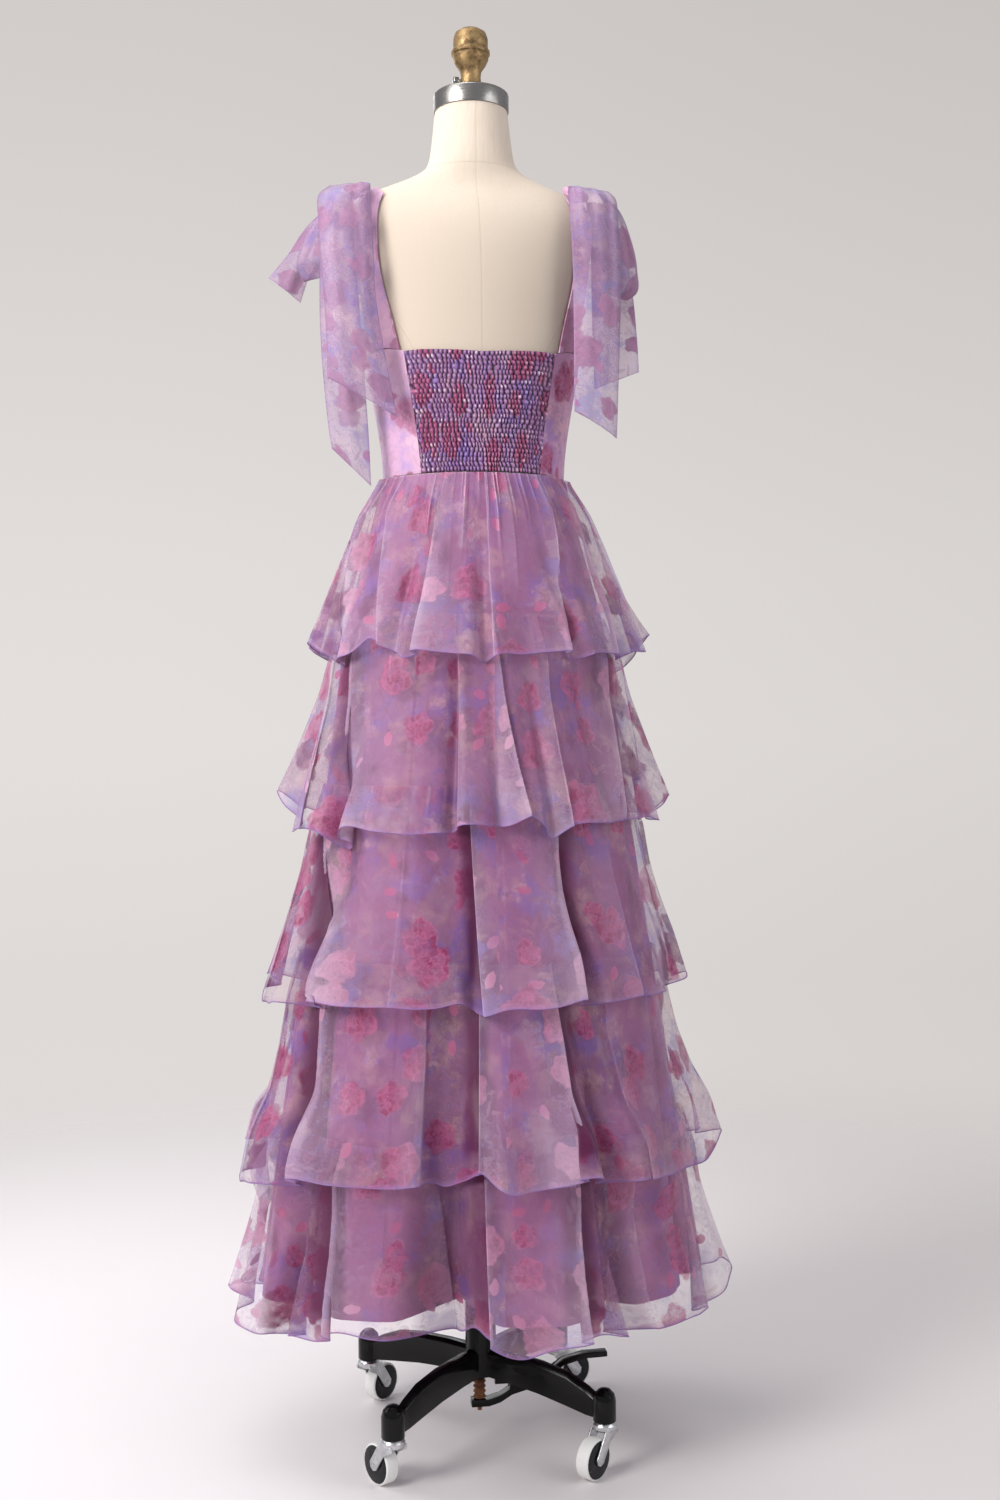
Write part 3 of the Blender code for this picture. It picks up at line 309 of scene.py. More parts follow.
LEAF_SPRAYS = (
    # scale  long  wide  offset            tone
    (62.0, 0.46, 0.13, (1.7, 8.1, 0.0), (0.290, 0.170, 0.270)),
    (47.0, 0.48, 0.11, (6.4, 2.2, 0.0), (0.430, 0.190, 0.260)),
    (80.0, 0.44, 0.16, (3.3, 5.2, 0.0), (0.240, 0.160, 0.330)),
)
VEINS = (
    # scale  offset            tone
    (70.0, (2.2, 6.6, 0.0), (0.300, 0.130, 0.340)),
    (44.0, (8.8, 4.1, 0.0), (0.360, 0.130, 0.220)),
)
ROSES = (
    # scale  size  share of the cells that hold one  offset
    (11.5, 0.270, 0.60, (2.6, 5.5, 0.0)),
    (14.5, 0.255, 0.42, (7.9, 3.4, 0.0)),
)


def build_print():
    """Watercolour ground with roses, buds, pale blossoms and leaf sprays, in the cloth's metres."""
    tree, given, result = new_group(
        "blossom_print",
        [("Cloth", "Vector", None), ("Wash", "Float", 1.0), ("Roses", "Float", 1.0)],
        [("Color", "Color"), ("Ink", "Float")])
    cloth = given["Cloth"]
    sway = (cloth.noise(26.0, 3.0, kind="Color") - MIDDLE).scaled(0.012)
    fine = (cloth.noise(190.0, 2.0, kind="Color") - MIDDLE).scaled(0.0030)
    place = cloth + sway + fine

    lilac, violet, blush = (0.520, 0.262, 0.490), (0.255, 0.155, 0.490), (0.700, 0.400, 0.480)
    mauve = (0.430, 0.180, 0.350)
    cloudy = (cloth + (3.1, 7.7, 0.0)).noise(15.0, 5.0, 0.68).step(0.48, 0.61)
    rosy = (cloth + (9.3, 1.9, 0.0)).noise(17.0, 5.0, 0.70).step(0.49, 0.65)
    ground = blend(cloth.noise(14.0, 5.0, 0.66).step(0.42, 0.60), lilac, mauve)
    ground = blend(rosy, blend(cloudy, ground, violet), blush)
    ragged = cloth.noise(120.0, 3.0, 0.7).times_plus(0.50, -0.25)

    # pale blossoms under the roses
    spot = scattered(place, 13.0, (4.2, 1.3, 0.0))
    mask, share, turn = blossom(spot, 0.22, 5.0, 0.16, ragged)
    heart = share.step(0.30, 0.10)
    rim = abs((turn * 2.5).sine()).step(0.30, 0.02)
    pale = mask * spot.chance[0].step(0.58, 0.66)
    ground = painted(ground,
                     (pale, 0.34, (0.800, 0.600, 0.660)),
                     (pale, rim * 0.30, (0.420, 0.220, 0.380)),
                     (pale, heart * 0.50, (0.560, 0.200, 0.300)))

    # sprays of small leaves in drifts
    drawn = 0.0
    for scale, long, wide, offset, tone in LEAF_SPRAYS:
        sprig = leaf(scattered(place, scale, offset), long, wide)
        patch = (cloth + offset).noise(14.0, 3.0).step(0.46, 0.60)
        strength = sprig * patch * 0.55
        ground = blend(strength, ground, tone)
        drawn = strength.at_least(drawn)

    # fine drawn petals and veins
    for scale, offset, tone in VEINS:
        moved = place + offset
        near = moved.cells(scale, 1.0, True, "DISTANCE_TO_EDGE")["Distance"]
        strength = near.step(0.075, 0.01) * moved.noise(21.0, 4.0).step(0.50, 0.60) * 0.50
        ground = blend(strength, ground, tone)
        drawn = strength.at_least(drawn)

    # buds and roses
    spot = scattered(place, 22.0, (5.1, 9.2, 0.0))
    ink = leaf(spot, 0.22, 0.13) * spot.chance[0].step(0.34, 0.30) * given["Roses"]
    ground = painted(ground, (ink, 0.75, (0.420, 0.055, 0.160)))
    for scale, size, likely, offset in ROSES:
        spot = scattered(place, scale, offset)
        mask, petal = rose(spot, size, ragged)
        patchy = cloth.noise(75.0, 4.0, 0.7).step(0.28, 0.60, 0.62, 1.0) * given["Roses"]
        shown = mask * spot.chance[0].step(likely, likely - 0.04) * patchy
        ground = blend(shown, ground, blend(petal, (0.240, 0.010, 0.075), (0.500, 0.120, 0.270)))
        ink = ink.at_least(shown)

    ground = blend(given["Wash"], (0.60, 0.42, 0.60), ground)
    for patch, share in ((cloudy, 0.31), (rosy, 0.08), (pale, 0.09), (drawn, 0.48)):
        ink = ink.at_least(patch * share)
    fill(result["Color"], ground)
    fill(result["Ink"], ink)
    return tree


def build_weave():
    """Fine uneven threads both ways, in the cloth's metres: height and a slight change of tone."""
    tree, given, result = new_group(
        "weave", [("Cloth", "Vector", None), ("Threads", "Float", 900.0)],
        [("Height", "Float"), ("Tone", "Float")])
    cloth = given["Cloth"]
    split = cloth.split()
    warp, weft = ((split[way] * (given["Threads"] * FULL_TURN)).sine() for way in (0, 1))
    fill(result["Height"], warp * weft)
    slubs, more_slubs = ((cloth * stretch).noise(1.0, 1.0)
                         for stretch in ((900.0, 14.0, 1.0), (14.0, 700.0, 1.0)))
    fill(result["Tone"], (slubs + more_slubs) * 0.5)
    return tree


# ---------------------------------------------------------------- materials
def cloth_place(tree, offset=(0.0, 0.0, 0.0)):
    return put(tree, "UVMap", uv_map="cloth")[0] + offset


def object_place(tree):
    return put(tree, "TexCoord")["Object"]


def attribute(tree, name):
    return put(tree, "Attribute", attribute_name=name)["Fac"]


def organza(name, offset, clear, wash=1.0, roses=1.0, tint=0.0):
    """Sheer printed organza: clear is how opaque the bare ground is, seen square on."""
    material, tree = new_material(
        name, Roughness=0.42, Specular_IOR_Level=0.40, Sheen_Weight=0.16, Sheen_Roughness=0.35,
        Sheen_Tint=(0.95, 0.88, 1.0, 1.0))
    place = cloth_place(tree, offset)
    pattern = put(tree, "Group", {"Cloth": place, "Wash": wash, "Roses": roses}, node_tree=PRINT)
    weave = put(tree, "Group", {"Cloth": place}, node_tree=WEAVE)
    hem, crest, deep = (attribute(tree, mark) for mark in ("hem", "crest", "deep"))
    # Painted shade darkens the cloth in its hollows and makes it more opaque there; painted
    # highlights lighten the fold crests, and on tier 1 the same mark lays the centre-back seam as a
    # pale line.
    colour = painted(blend(tint, pattern["Color"], (0.440, 0.390, 0.600)),
                     (deep, 0.96, (0.080, 0.002, 0.042)),
                     (crest, 0.58, (0.880, 0.750, 0.950)),
                     (hem, 0.50, (0.330, 0.180, 0.440)))
    thick = clear
    for mark, share in ((pattern["Ink"], 0.56), (crest, 0.18), (deep, 0.62), (hem, 0.25),
                        (weave["Tone"] - 0.5, 0.10)):
        thick = mark.times_plus(share, thick)
    # threads crowd together where the cloth turns away
    aslant = put(tree, "LayerWeight", {"Blend": 0.5})["Facing"] ** 2.5
    thick = thick + aslant * 0.10
    return feed(material, Base_Color=colour, Alpha=thick.made("MINIMUM", 0.97),
                Normal=bump(weave["Height"], 0.25, 0.0002))


def printed_satin(name, offset, wash=1.0, tint=(0.860, 0.510, 0.700), puffed=False):
    """Opaque printed cloth for the bodice. Puffed cloth has painted shade in its low places and
    painted highlights on its high places.
    """
    material, tree = new_material(
        name, Roughness=0.46, Specular_IOR_Level=0.4, Sheen_Weight=0.25, Sheen_Roughness=0.4)
    place = cloth_place(tree, offset)
    pattern = put(tree, "Group", {"Cloth": place, "Wash": wash}, node_tree=PRINT)
    weave = put(tree, "Group", {"Cloth": place, "Threads": 1100.0}, node_tree=WEAVE)
    colour = blend(pattern["Ink"].times_plus(-0.45, 0.45), pattern["Color"], tint)
    if puffed:
        # Painted shade in the grooves and painted highlights on the tops of the puffs.
        colour = painted(colour, (attribute(tree, "low"), 0.98, (0.022, 0.003, 0.024)),
                         (attribute(tree, "high"), 0.78, (0.860, 0.690, 0.800)))
    return feed(material, Base_Color=colour, Normal=bump(weave["Height"], 0.2, 0.0002))


def satin_lining():
    """Plain mauve satin, paler near its hem as painted light, with painted shade in its hollows."""
    material, tree = new_material(
        "mauve_satin", Roughness=0.40, Specular_IOR_Level=0.45, Sheen_Weight=0.2,
        Sheen_Roughness=0.4)
    place = cloth_place(tree)
    weave = put(tree, "Group", {"Cloth": place, "Threads": 1200.0}, node_tree=WEAVE)
    cloudy = place.noise(5.0, 3.0).step(0.35, 0.65)
    # Painted light: paler towards the hem, standing in for light thrown up from the floor.
    painted_light_near_hem = object_place(tree).split()[2].step(0.42, 0.18, 0.0, 0.65)
    colour = blend(cloudy, (0.325, 0.105, 0.250), (0.365, 0.130, 0.280))
    # Painted shade in the hollows of the lining.
    colour = painted(blend(painted_light_near_hem, colour, (0.440, 0.185, 0.340)),
                     (attribute(tree, "deep"), 0.75, (0.13, 0.020, 0.060)),
                     (attribute(tree, "hem"), 0.5, (0.25, 0.07, 0.18)))
    return feed(material, Base_Color=colour, Normal=bump(weave["Height"], 0.2, 0.0002))


# Seams of the form's cover: turn in radians up to the bust and over the shoulder
COVER_SEAMS = ((0.0, 0.0), (0.80, 1.50), (1.5708, 1.5708), (2.34, 1.64), (3.1416, 3.1416))
COVER_RING_Z = 1.6400         # seam round the neck


def linen_cover():
    """Cream linen of the form with faint panel seams round it."""
    material, tree = new_material("cream_linen", Roughness=0.85, Specular_IOR_Level=0.25,
                                  Sheen_Weight=0.15, Sheen_Roughness=0.5)
    place = object_place(tree)
    split = place.split()
    x, y, z = split[0], split[1], split[2]
    threads = (z * 6283.0).sine() * ((x + y) * 6283.0).sine()
    slub = (place * (420.0, 420.0, 30.0)).noise(1.0, 2.0).step(0.40, 0.75)
    colour = blend(place.noise(9.0, 4.0, 0.6).step(0.3, 0.7),
                   (0.740, 0.625, 0.515), (0.790, 0.680, 0.570))
    colour = painted(colour, (slub, 0.25, (0.56, 0.46, 0.35)))
    # Painted shade: darker below the bust than at the neck, standing in for the light falling off
    # down the form.
    colour = blend(z.step(1.70, 1.50, 0.0, 0.9), colour, (0.600, 0.505, 0.415))
    turn = x.made("ARCTAN2", y * -1.0)
    radius = (place * (1.0, 1.0, 0.0)).length()
    seams = abs(z - COVER_RING_Z).step(0.0013, 0.0002)
    for low, high in COVER_SEAMS:
        away = (abs(turn) - z.step(1.36, 1.54, low, high)) * radius
        seam = abs(away).step(0.0014, 0.0002)
        if low != high:
            seam = seam * z.step(1.55, 1.52)
        seams = seams.at_least(seam)
    colour = painted(colour, (seams, 0.26, (0.42, 0.34, 0.25)))
    height = threads * 0.25 - seams * 1.2
    return feed(material, Base_Color=colour, Normal=bump(height, 0.35, 0.0004))


def worn_metal(name, tone, worn_tone, roughness, metallic=1.0, brushed=(60.0, 60.0, 60.0),
               wear=0.5, grain=0.12):
    """Metal with clouded tarnish and fine brushing along one way."""
    material, tree = new_material(name, Metallic=metallic)
    place = object_place(tree)
    cloudy = place.noise(70.0, 5.0, 0.65)
    lines = (place * brushed).noise(1.0, 3.0)
    rough = cloudy.step(0.3, 0.7, roughness - 0.06, roughness + 0.12) + (lines - 0.5) * 0.20
    return feed(material, Base_Color=painted(tone, (cloudy.step(0.40, 0.68), wear, worn_tone)),
                Roughness=rough, Normal=bump(lines, grain, 0.0004))


def enamel(name, tone, roughness, speckle):
    """Gloss paint or moulded plastic with orange-peel and a little dust and chips."""
    material, tree = new_material(name, Specular_IOR_Level=0.20, Coat_Weight=0.06,
                                  Coat_Roughness=0.06)
    place = object_place(tree)
    dust = place.noise(140.0, 5.0, 0.7).step(0.56, 0.74)
    rough = place.noise(40.0, 3.0).step(0.3, 0.7, roughness - 0.05, roughness + 0.12)
    return feed(material, Base_Color=painted(tone, (dust, speckle, (0.30, 0.28, 0.27))),
                Roughness=rough, Normal=bump(place.noise(260.0, 2.0), 0.10, 0.0006))


# ---------------------------------------------------------------- cloth surfaces
BEYOND = 0.7                  # farther from the pole than any cloth


def turns_off(turns, line):
    """Degrees from a line to these turns, between -180 and 180."""
    return (turns - line + 180.0) % 360.0 - 180.0


def surface_of(name):
    """Search tree over a node's solids."""
    mesh = NODES[name].data
    return BVHTree.FromPolygons([vertex.co for vertex in mesh.vertices],
                                [list(polygon.vertices) for polygon in mesh.polygons])


def outside_radius(tree, turn, z):
    """Distance from the pole's axis of the outermost cloth at this turn and height, or None."""
    sine, cosine = math.sin(math.radians(turn)), math.cos(math.radians(turn))
    start = Vector((BEYOND * sine, -BEYOND * cosine, z))
    hit = tree.ray_cast(start, Vector((-sine, cosine, 0.0)), BEYOND)[0]
    return None if hit is None else math.hypot(hit.x, hit.y)


def edge_between(outside, inside, halvings, holds):
    """The last value on the inside of the edge between one where holds is false and one where
    it is true."""
    for _ in range(halvings):
        middle = (outside + inside) / 2
        if holds(middle):
            inside = middle
        else:
            outside = middle
    return inside


def smoothed(values, spread, wrap=True):
    """Running average along the last axis, weighted by a bell of this spread in steps."""
    reach = int(3 * spread) + 1
    bell = np.exp(-0.5 * (np.arange(-reach, reach + 1) / spread) ** 2)
    bell /= bell.sum()
    padding = [(0, 0)] * (values.ndim - 1) + [(reach, reach)]
    padded = np.pad(values, padding, mode="wrap" if wrap else "edge")
    return np.apply_along_axis(lambda row: np.convolve(row, bell, mode="valid"), -1, padded)


def hung_form(node, top_z, rows, soften):
    """Radius and height of a hung sheet's outside on its solid: arrays of rows by columns."""
    tree = surface_of(node)
    turns = CENTRE_BACK_SEAM + np.arange(COARSE) * 360.0 / COARSE
    low_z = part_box(node)[0].z
    highest_hem = low_z + 0.075
    hems = np.array([
        edge_between(low_z, highest_hem, 9, lambda z: outside_radius(tree, turn, z) is not None)
        for turn in turns]) + 0.0002
    heights = top_z + (hems[None, :] - top_z) * np.linspace(0.0, 1.0, rows)[:, None]
    radii = np.zeros((rows, COARSE))
    for k, turn in enumerate(turns):
        last = 0.1
        for r in range(rows):
            found = outside_radius(tree, turn, heights[r, k])
            last = found if found is not None else last
            radii[r, k] = last
    spots = np.arange(COLUMNS) / (COLUMNS // COARSE)
    known = np.arange(COARSE + 1)

    def widened(values):
        return np.array([np.interp(spots, known, np.append(row, row[0])) for row in values])

    radii = smoothed(widened(radii), soften)
    return smoothed(radii.T, 0.9, wrap=False).T, smoothed(widened(heights), soften)


def line_down(top, hem, shares):
    """Turns of a line that leaves the seam at one turn and ends at another at the hem."""
    return top + (hem - top) * shares ** 1.15


def fold_field(folds, rows):
    """Soft folds on a sheet, rows by columns: their height in metres, the degrees by which the
    cloth is carried round where it laps over itself, and how near each spot is to a sharp edge.
    Each fold is (turn at the top, turn at the hem, from, to, height in mm, half width in degrees,
    lap in mm). Its height falls away gently over that width on one side, to the right if the
    width is negative."""
    shares = np.linspace(0.0, 1.0, rows)[:, None]
    lap_radius = 0.22
    field, carried, edges = (np.zeros((rows, COLUMNS)) for _ in range(3))
    for top, hem, start, stop, height, wide, lap in folds:
        way = 1.0 if wide > 0 else -1.0
        away = turns_off(TURNS[None, :], line_down(top, hem, shares)) * way
        rise = np.clip((shares - start) / 0.15 + (0.5 if start > 0 else 9.0), 0.0, 1.0)
        fall = np.clip((stop - shares) / 0.30 + (0.0 if stop < 1 else 9.0), 0.0, 1.0)
        strength = rise * fall * (0.45 + 0.55 * shares)
        spread = abs(wide) * (0.55 + 0.75 * shares)
        gentle = np.exp(-(np.abs(away) / spread) ** 1.6)
        steep = np.exp(-(np.abs(away) / 0.8) ** 2)
        field += height / 1000 * np.where(away > 0, gentle, steep) * strength
        turn = np.degrees(lap / 1000 / lap_radius) * strength
        over = np.exp(-(away / np.where(away > 0, 0.7 * spread, 0.7)) ** 2)
        back = np.exp(-((away + 1.6) / 1.1) ** 2)
        carried += way * turn * (0.35 * back - over)
        sharp = np.exp(-(away / 0.45) ** 2) * np.clip(height / 6.0, 0.0, 1.0)
        edges = np.maximum(edges, sharp * rise * fall)
    return field, carried, edges


def bell_mask(line, wide):
    """Soft mask of the columns within about wide degrees of a turn or of a line of turns."""
    return np.exp(-(turns_off(TURNS[None, :], line) / wide) ** 2)


def one_sided(line, wide):
    """Soft mask that ends sharply on one side of a line and over wide degrees on the other."""
    away = turns_off(TURNS[None, :], line) * math.copysign(1.0, wide)
    return np.where(away > 0, np.exp(-(np.abs(away) / abs(wide)) ** 4), np.exp(-(away / 0.8) ** 2))


def uneven_turns(chance, count, share):
    """Turns spread round the dress, each moved by up to this share of the gap between them."""
    moved = chance.uniform(-share, share, count) * 360.0 / count
    return np.arange(count) * 360.0 / count + moved


def gathers(seed, count, height, reach, wide):
    """Many small pleats let down from a gathered seam, uneven in place, length and height."""
    chance = np.random.default_rng(seed)
    return [(at, at + chance.uniform(-2.5, 2.5), 0.0, reach * chance.uniform(0.35, 1.5),
             2.0 * height * chance.uniform(0.35, 1.3),
             wide * chance.uniform(0.6, 1.4) * chance.choice((-1, 1)), 0.0)
            for at in uneven_turns(chance, count, 0.42)]


def long_folds(seed, count, height, wide, clear):
    """Long soft folds down a sheet, none within this many degrees of the centre back."""
    chance = np.random.default_rng(seed)
    folds = []
    for at in uneven_turns(chance, count, 0.4):
        drift, start = chance.uniform(-5, 5), chance.uniform(0.0, 0.3)
        tall = height * chance.uniform(0.6, 1.3)
        spread = wide * chance.uniform(0.8, 1.5) * chance.choice((-1, 1))
        if abs(turns_off(at, 0.0)) > clear:
            folds.append((at, at + drift, start, 1.0, tall, spread, tall))
    return folds


def level_of(heights):
    """Rows of the table of radii at these heights."""
    return (heights - HEIGHTS[0]) / (HEIGHTS[1] - HEIGHTS[0])


def column_of(carried):
    """Columns in which a sheet lies where it is carried round by these degrees."""
    columns = np.arange(COLUMNS)[None, :] + carried * COLUMNS / 360.0
    return np.rint(columns).astype(int) % COLUMNS


def add_to_table(table, *sheet):
    """Marks the radius of a sheet (its radii, heights and degrees carried round) wherever it
    lies, so that the next one out stays clear of it."""
    rows = len(sheet[0])
    fine = np.linspace(0, rows - 1, rows * 3)
    low = np.minimum(fine.astype(int), rows - 2)
    part = (fine - low)[:, None]
    radii, heights, carried = (grid[low] * (1 - part) + grid[low + 1] * part for grid in sheet)
    level = np.clip(np.rint(level_of(heights)).astype(int), 0, len(HEIGHTS) - 1)
    marks = np.zeros_like(table)
    np.maximum.at(marks, (level, column_of(carried)), radii)
    for turn in (1, -1, 2, -2):
        marks = np.maximum(marks, np.roll(marks, turn, 1))
    upper, lower = np.roll(marks, 1, 0), np.roll(marks, -1, 0)
    upper[0], lower[-1] = 0, 0
    np.maximum(table, np.maximum(marks, np.maximum(upper, lower)), out=table)


def kept_clear(table, radii, heights, carried):
    """Radii pushed softly outwards to stay clear of what lies under them."""
    row = np.clip(level_of(heights), 0, len(HEIGHTS) - 1.001)
    low = row.astype(int)
    part = row - low
    column = column_of(carried)
    under = table[low, column] * (1 - part) + table[low + 1, column] * part
    softness = 0.0012
    spare = (radii - under - LAYER_GAP) / softness
    lifted = under + LAYER_GAP + softness * np.logaddexp(0.0, np.clip(spare, -40, 40))
    return np.where(spare > 8, radii, np.where(under > 0, lifted, radii))


def cloth_grid(name, points, laid, material, closed=True, **marks):
    """A sheet from points (rows, columns, 3), laid out flat in metres (rows, columns, 2), facing
    outwards, with a number at each point for each mark."""
    rows, columns = points.shape[:2]
    last = columns if closed else columns - 1
    r, c = np.meshgrid(np.arange(rows - 1), np.arange(last), indexing="ij")
    r, c = r.ravel(), c.ravel()
    beside = (c + 1) % columns
    here, below = r * columns, (r + 1) * columns
    faces = np.stack([here + c, below + c, below + beside, here + beside], 1)
    mesh = bpy.data.meshes.new(name)
    mesh.from_pydata(points.reshape(-1, 3).tolist(), [], faces.tolist())
    width = laid[:, -1:, :] + (laid[:, -1:, :] - laid[:, -2:-1, :])
    wide = np.concatenate([laid, width], 1)
    corners = np.stack([wide[r, c], wide[r + 1, c], wide[r + 1, c + 1], wide[r, c + 1]], 1)
    cloth_map = mesh.uv_layers.new(name="cloth").data
    cloth_map.foreach_set("uv", corners.astype(np.float32).ravel())
    for label, values in marks.items():
        spots = mesh.attributes.new(label, "FLOAT", "POINT")
        spots.data.foreach_set("value", values.astype(np.float32).ravel())
    mesh.polygons.foreach_set("use_smooth", np.ones(len(faces), bool))
    mesh.materials.append(material)
    return placed(name, mesh)


def round_points(radii, heights, carried):
    turn = np.radians(TURNS[None, :] + carried)
    return np.stack([radii * np.sin(turn), -radii * np.cos(turn), heights], 2)


def unit(vectors):
    return vectors / np.linalg.norm(vectors, axis=1, keepdims=True)


def rolled_hem(name, line, laid, material):
    """Thin rolled edge: a closed cord of cloth along a line of points (n, 3)."""
    sides = 6
    along = unit(np.roll(line, -1, 0) - np.roll(line, 1, 0))
    upward = unit(np.cross(unit(line * (1.0, 1.0, 0.0)), along))
    outward = np.cross(along, upward)
    turns = np.arange(sides) * 2 * math.pi / sides
    rings = [line + TIER_EDGE_RADIUS * (math.cos(t) * outward + math.sin(t) * upward)
             for t in turns]
    rings.append(rings[0])
    flat = [np.stack([laid, np.full_like(laid, k * TIER_EDGE_RADIUS)], 1)
            for k in range(sides + 1)]
    obj = cloth_grid(name, np.stack(rings, 0), np.stack(flat, 0), material)
    bm = bmesh.new()
    bm.from_mesh(obj.data)
    bmesh.ops.remove_doubles(bm, verts=bm.verts, dist=1e-6)
    bmesh.ops.recalc_face_normals(bm, faces=bm.faces)
    bm.to_mesh(obj.data)
    bm.free()
    return obj


def cloth_length(points, row):
    """Distance along a row of the sheet from the centre back, and the whole way round."""
    line = points[row]
    steps = np.linalg.norm(np.roll(line, -1, 0) - line, axis=1)
    return np.concatenate([[0.0], np.cumsum(steps)[:-1]]), steps.sum()


def declared(piece, body, node):
    """Makes the piece ride on the body and hides the node that it stands for."""
    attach(piece, body)
    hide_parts(node)
    return piece


# Folds placed one by one on the side that shows: turn at the seam and at the hem in degrees, where
# the fold starts and stops (0 at the seam, 1 at the hem), height in mm, half width in degrees
# (negative where its sharp edge is on the right) and how far it laps over its neighbour in mm
CREASES = {
    "tier_1": ((-79, -66, 0.0, 1.0, 7, 6.0, 9), (-60, -47, 0.0, 1.0, 5, 5.0, 5),
               (-27, -31, 0.0, 1.0, 8, 10.0, 11), (-12, -16, 0.0, 0.5, 4, -4.0, 3),
               (16, 14, 0.0, 0.7, 4, -5.0, 3), (43, 33, 0.0, 1.0, 6, -7.0, 7),
               (62, 56, 0.0, 1.0, 7, -7.0, 9), (80, 78, 0.0, 1.0, 7, -6.0, 8)),
    "tier_2": ((-80, -71, 0.0, 1.0, 6, -7.0, 8), (-65, -56, 0.0, 1.0, 8, 9.0, 12),
               (-15, -14, 0.0, 1.0, 4, 5.0, 3), (1, 11, 0.0, 1.0, 8, -7.0, 10),
               (26, 28, 0.0, 1.0, 5, -6.0, 5), (60, 50, 0.0, 1.0, 7, -8.0, 10),
               (76, 72, 0.0, 1.0, 6, -6.0, 7)),
    "tier_3": ((-89, -81, 0.0, 1.0, 6, -8.0, 5), (-73, -58, 0.0, 1.0, 9, 9.0, 12),
               (-36, -36, 0.3, 1.0, 3, 6.0, 2), (-10, -4, 0.0, 1.0, 6, 7.0, 7),
               (27, 25, 0.0, 1.0, 9, -10.0, 11), (50, 50, 0.2, 1.0, 4, -6.0, 4),
               (70, 70, 0.0, 1.0, 7, -6.0, 8)),
    "tier_4": ((-85, -80, 0.0, 1.0, 6, -8.0, 5), (-66, -61, 0.0, 1.0, 9, 9.0, 12),
               (-28, -27, 0.2, 1.0, 4, -6.0, 3), (-6, -6, 0.0, 1.0, 6, 7.0, 7),
               (21, 20, 0.0, 1.0, 9, -9.0, 11), (42, 43, 0.2, 1.0, 4, 6.0, 4),
               (68, 70, 0.0, 1.0, 7, -6.0, 8)),
    "tier_5": ((-76, -74, 0.0, 1.0, 5, -7.0, 4), (-53, -50, 0.0, 1.0, 9, 9.0, 12),
               (-24, -20, 0.2, 1.0, 4, -6.0, 3), (-5, -3, 0.0, 1.0, 6, 7.0, 7),
               (24, 20, 0.0, 1.0, 9, -9.0, 12), (46, 48, 0.2, 1.0, 4, -6.0, 4),
               (70, 74, 0.0, 1.0, 7, -6.0, 8)),
}
# Painted shade in the hollows beside the folds: turn at the seam and at the hem, where it starts
# and stops, half width in degrees (negative where the soft side is on the left) and how dark
HOLLOW_SHADE = {
    "tier_1": ((-28, -32, 0.0, 0.6, -4.0, 0.35), (44, 34, 0.3, 1.0, 5.0, 0.55),
               (63, 57, 0.3, 1.0, 5.0, 0.60)),
    "tier_2": ((-66, -57, 0.0, 0.8, -7.5, 0.90), (-16, -15, 0.1, 1.0, -6.0, 0.65),
               (2, 12, 0.1, 1.0, 5.0, 0.60), (61, 51, 0.0, 1.0, 6.5, 0.65)),
    "tier_3": ((-74, -59, 0.0, 1.0, -7.5, 1.00), (-11, -5, 0.0, 1.0, -6.5, 1.00),
               (28, 26, 0.0, 1.0, 9.0, 1.00)),
    "tier_4": ((-67, -62, 0.0, 0.9, -7.5, 1.00), (-29, -28, 0.1, 0.9, 3.0, 0.45),
               (-7, -7, 0.0, 1.0, -8.5, 1.00), (22, 21, 0.0, 1.0, 9.5, 1.00)),
    "tier_5": ((-54, -51, 0.0, 1.0, -11.0, 1.00), (-6, -4, 0.0, 1.0, -7.0, 0.90),
               (25, 21, 0.0, 1.0, 9.5, 1.00)),
}
# Where the hem curls up or dips: turn, half width in degrees, lift in mm, outward in mm
HEM_CURLS = {
    "tier_1": ((90, 5, 20, 12), (106, 6, -10, 12), (74, 6, -5, 3), (-84, 8, 8, 0),
               (-62, 5, -10, 0), (-52, 4, 10, 0), (-36, 4, -8, 2), (-5, 9, -6, 0), (40, 5, -6, 0),
               (150, 9, 9, 0), (185, 9, -7, 2), (222, 9, 10, 0)),
    "tier_2": ((-98, 9, 18, 0), (-82, 6, -6, 0), (-60, 6, -8, 2), (-51, 5, 6, 0), (13, 6, 8, 0),
               (22, 6, -5, 2), (84, 8, 12, 0), (70, 5, -7, 0), (130, 9, 9, 0), (165, 8, -8, 2),
               (208, 9, 10, 0)),
    "tier_3": ((-96, 9, 16, 0), (-78, 6, -6, 0), (-58, 5, 4, 2), (-14, 6, 8, 0), (-4, 5, -7, 2),
               (26, 6, 8, 0), (70, 6, 7, 0), (88, 8, 12, 0), (120, 9, 8, 0), (160, 8, -8, 2),
               (205, 9, 10, 0)),
    "tier_4": ((-97, 9, 14, 0), (-80, 6, -6, 0), (-58, 5, 4, 2), (-20, 5, -6, 0), (-6, 5, 12, 0),
               (2, 4, -5, 2), (24, 6, 10, 0), (92, 9, 14, 0), (76, 6, -6, 0), (125, 9, 8, 0),
               (165, 8, -8, 2), (210, 9, 10, 0)),
    "tier_5": ((-95, 9, 12, 0), (-76, 7, -4, 0), (-46, 5, 9, 0), (-9, 5, 15, 0), (4, 6, -11, 2),
               (26, 6, 9, 0), (52, 7, -5, 2), (92, 9, 14, 0), (78, 6, -6, 0), (130, 9, 8, 0),
               (170, 8, -6, 2), (212, 9, 10, 0)),
}
TIER_SEAMS = {"tier_1": 1.2385, "tier_2": 1.0600, "tier_3": 0.8500, "tier_4": 0.6350,
              "tier_5": 0.4200}
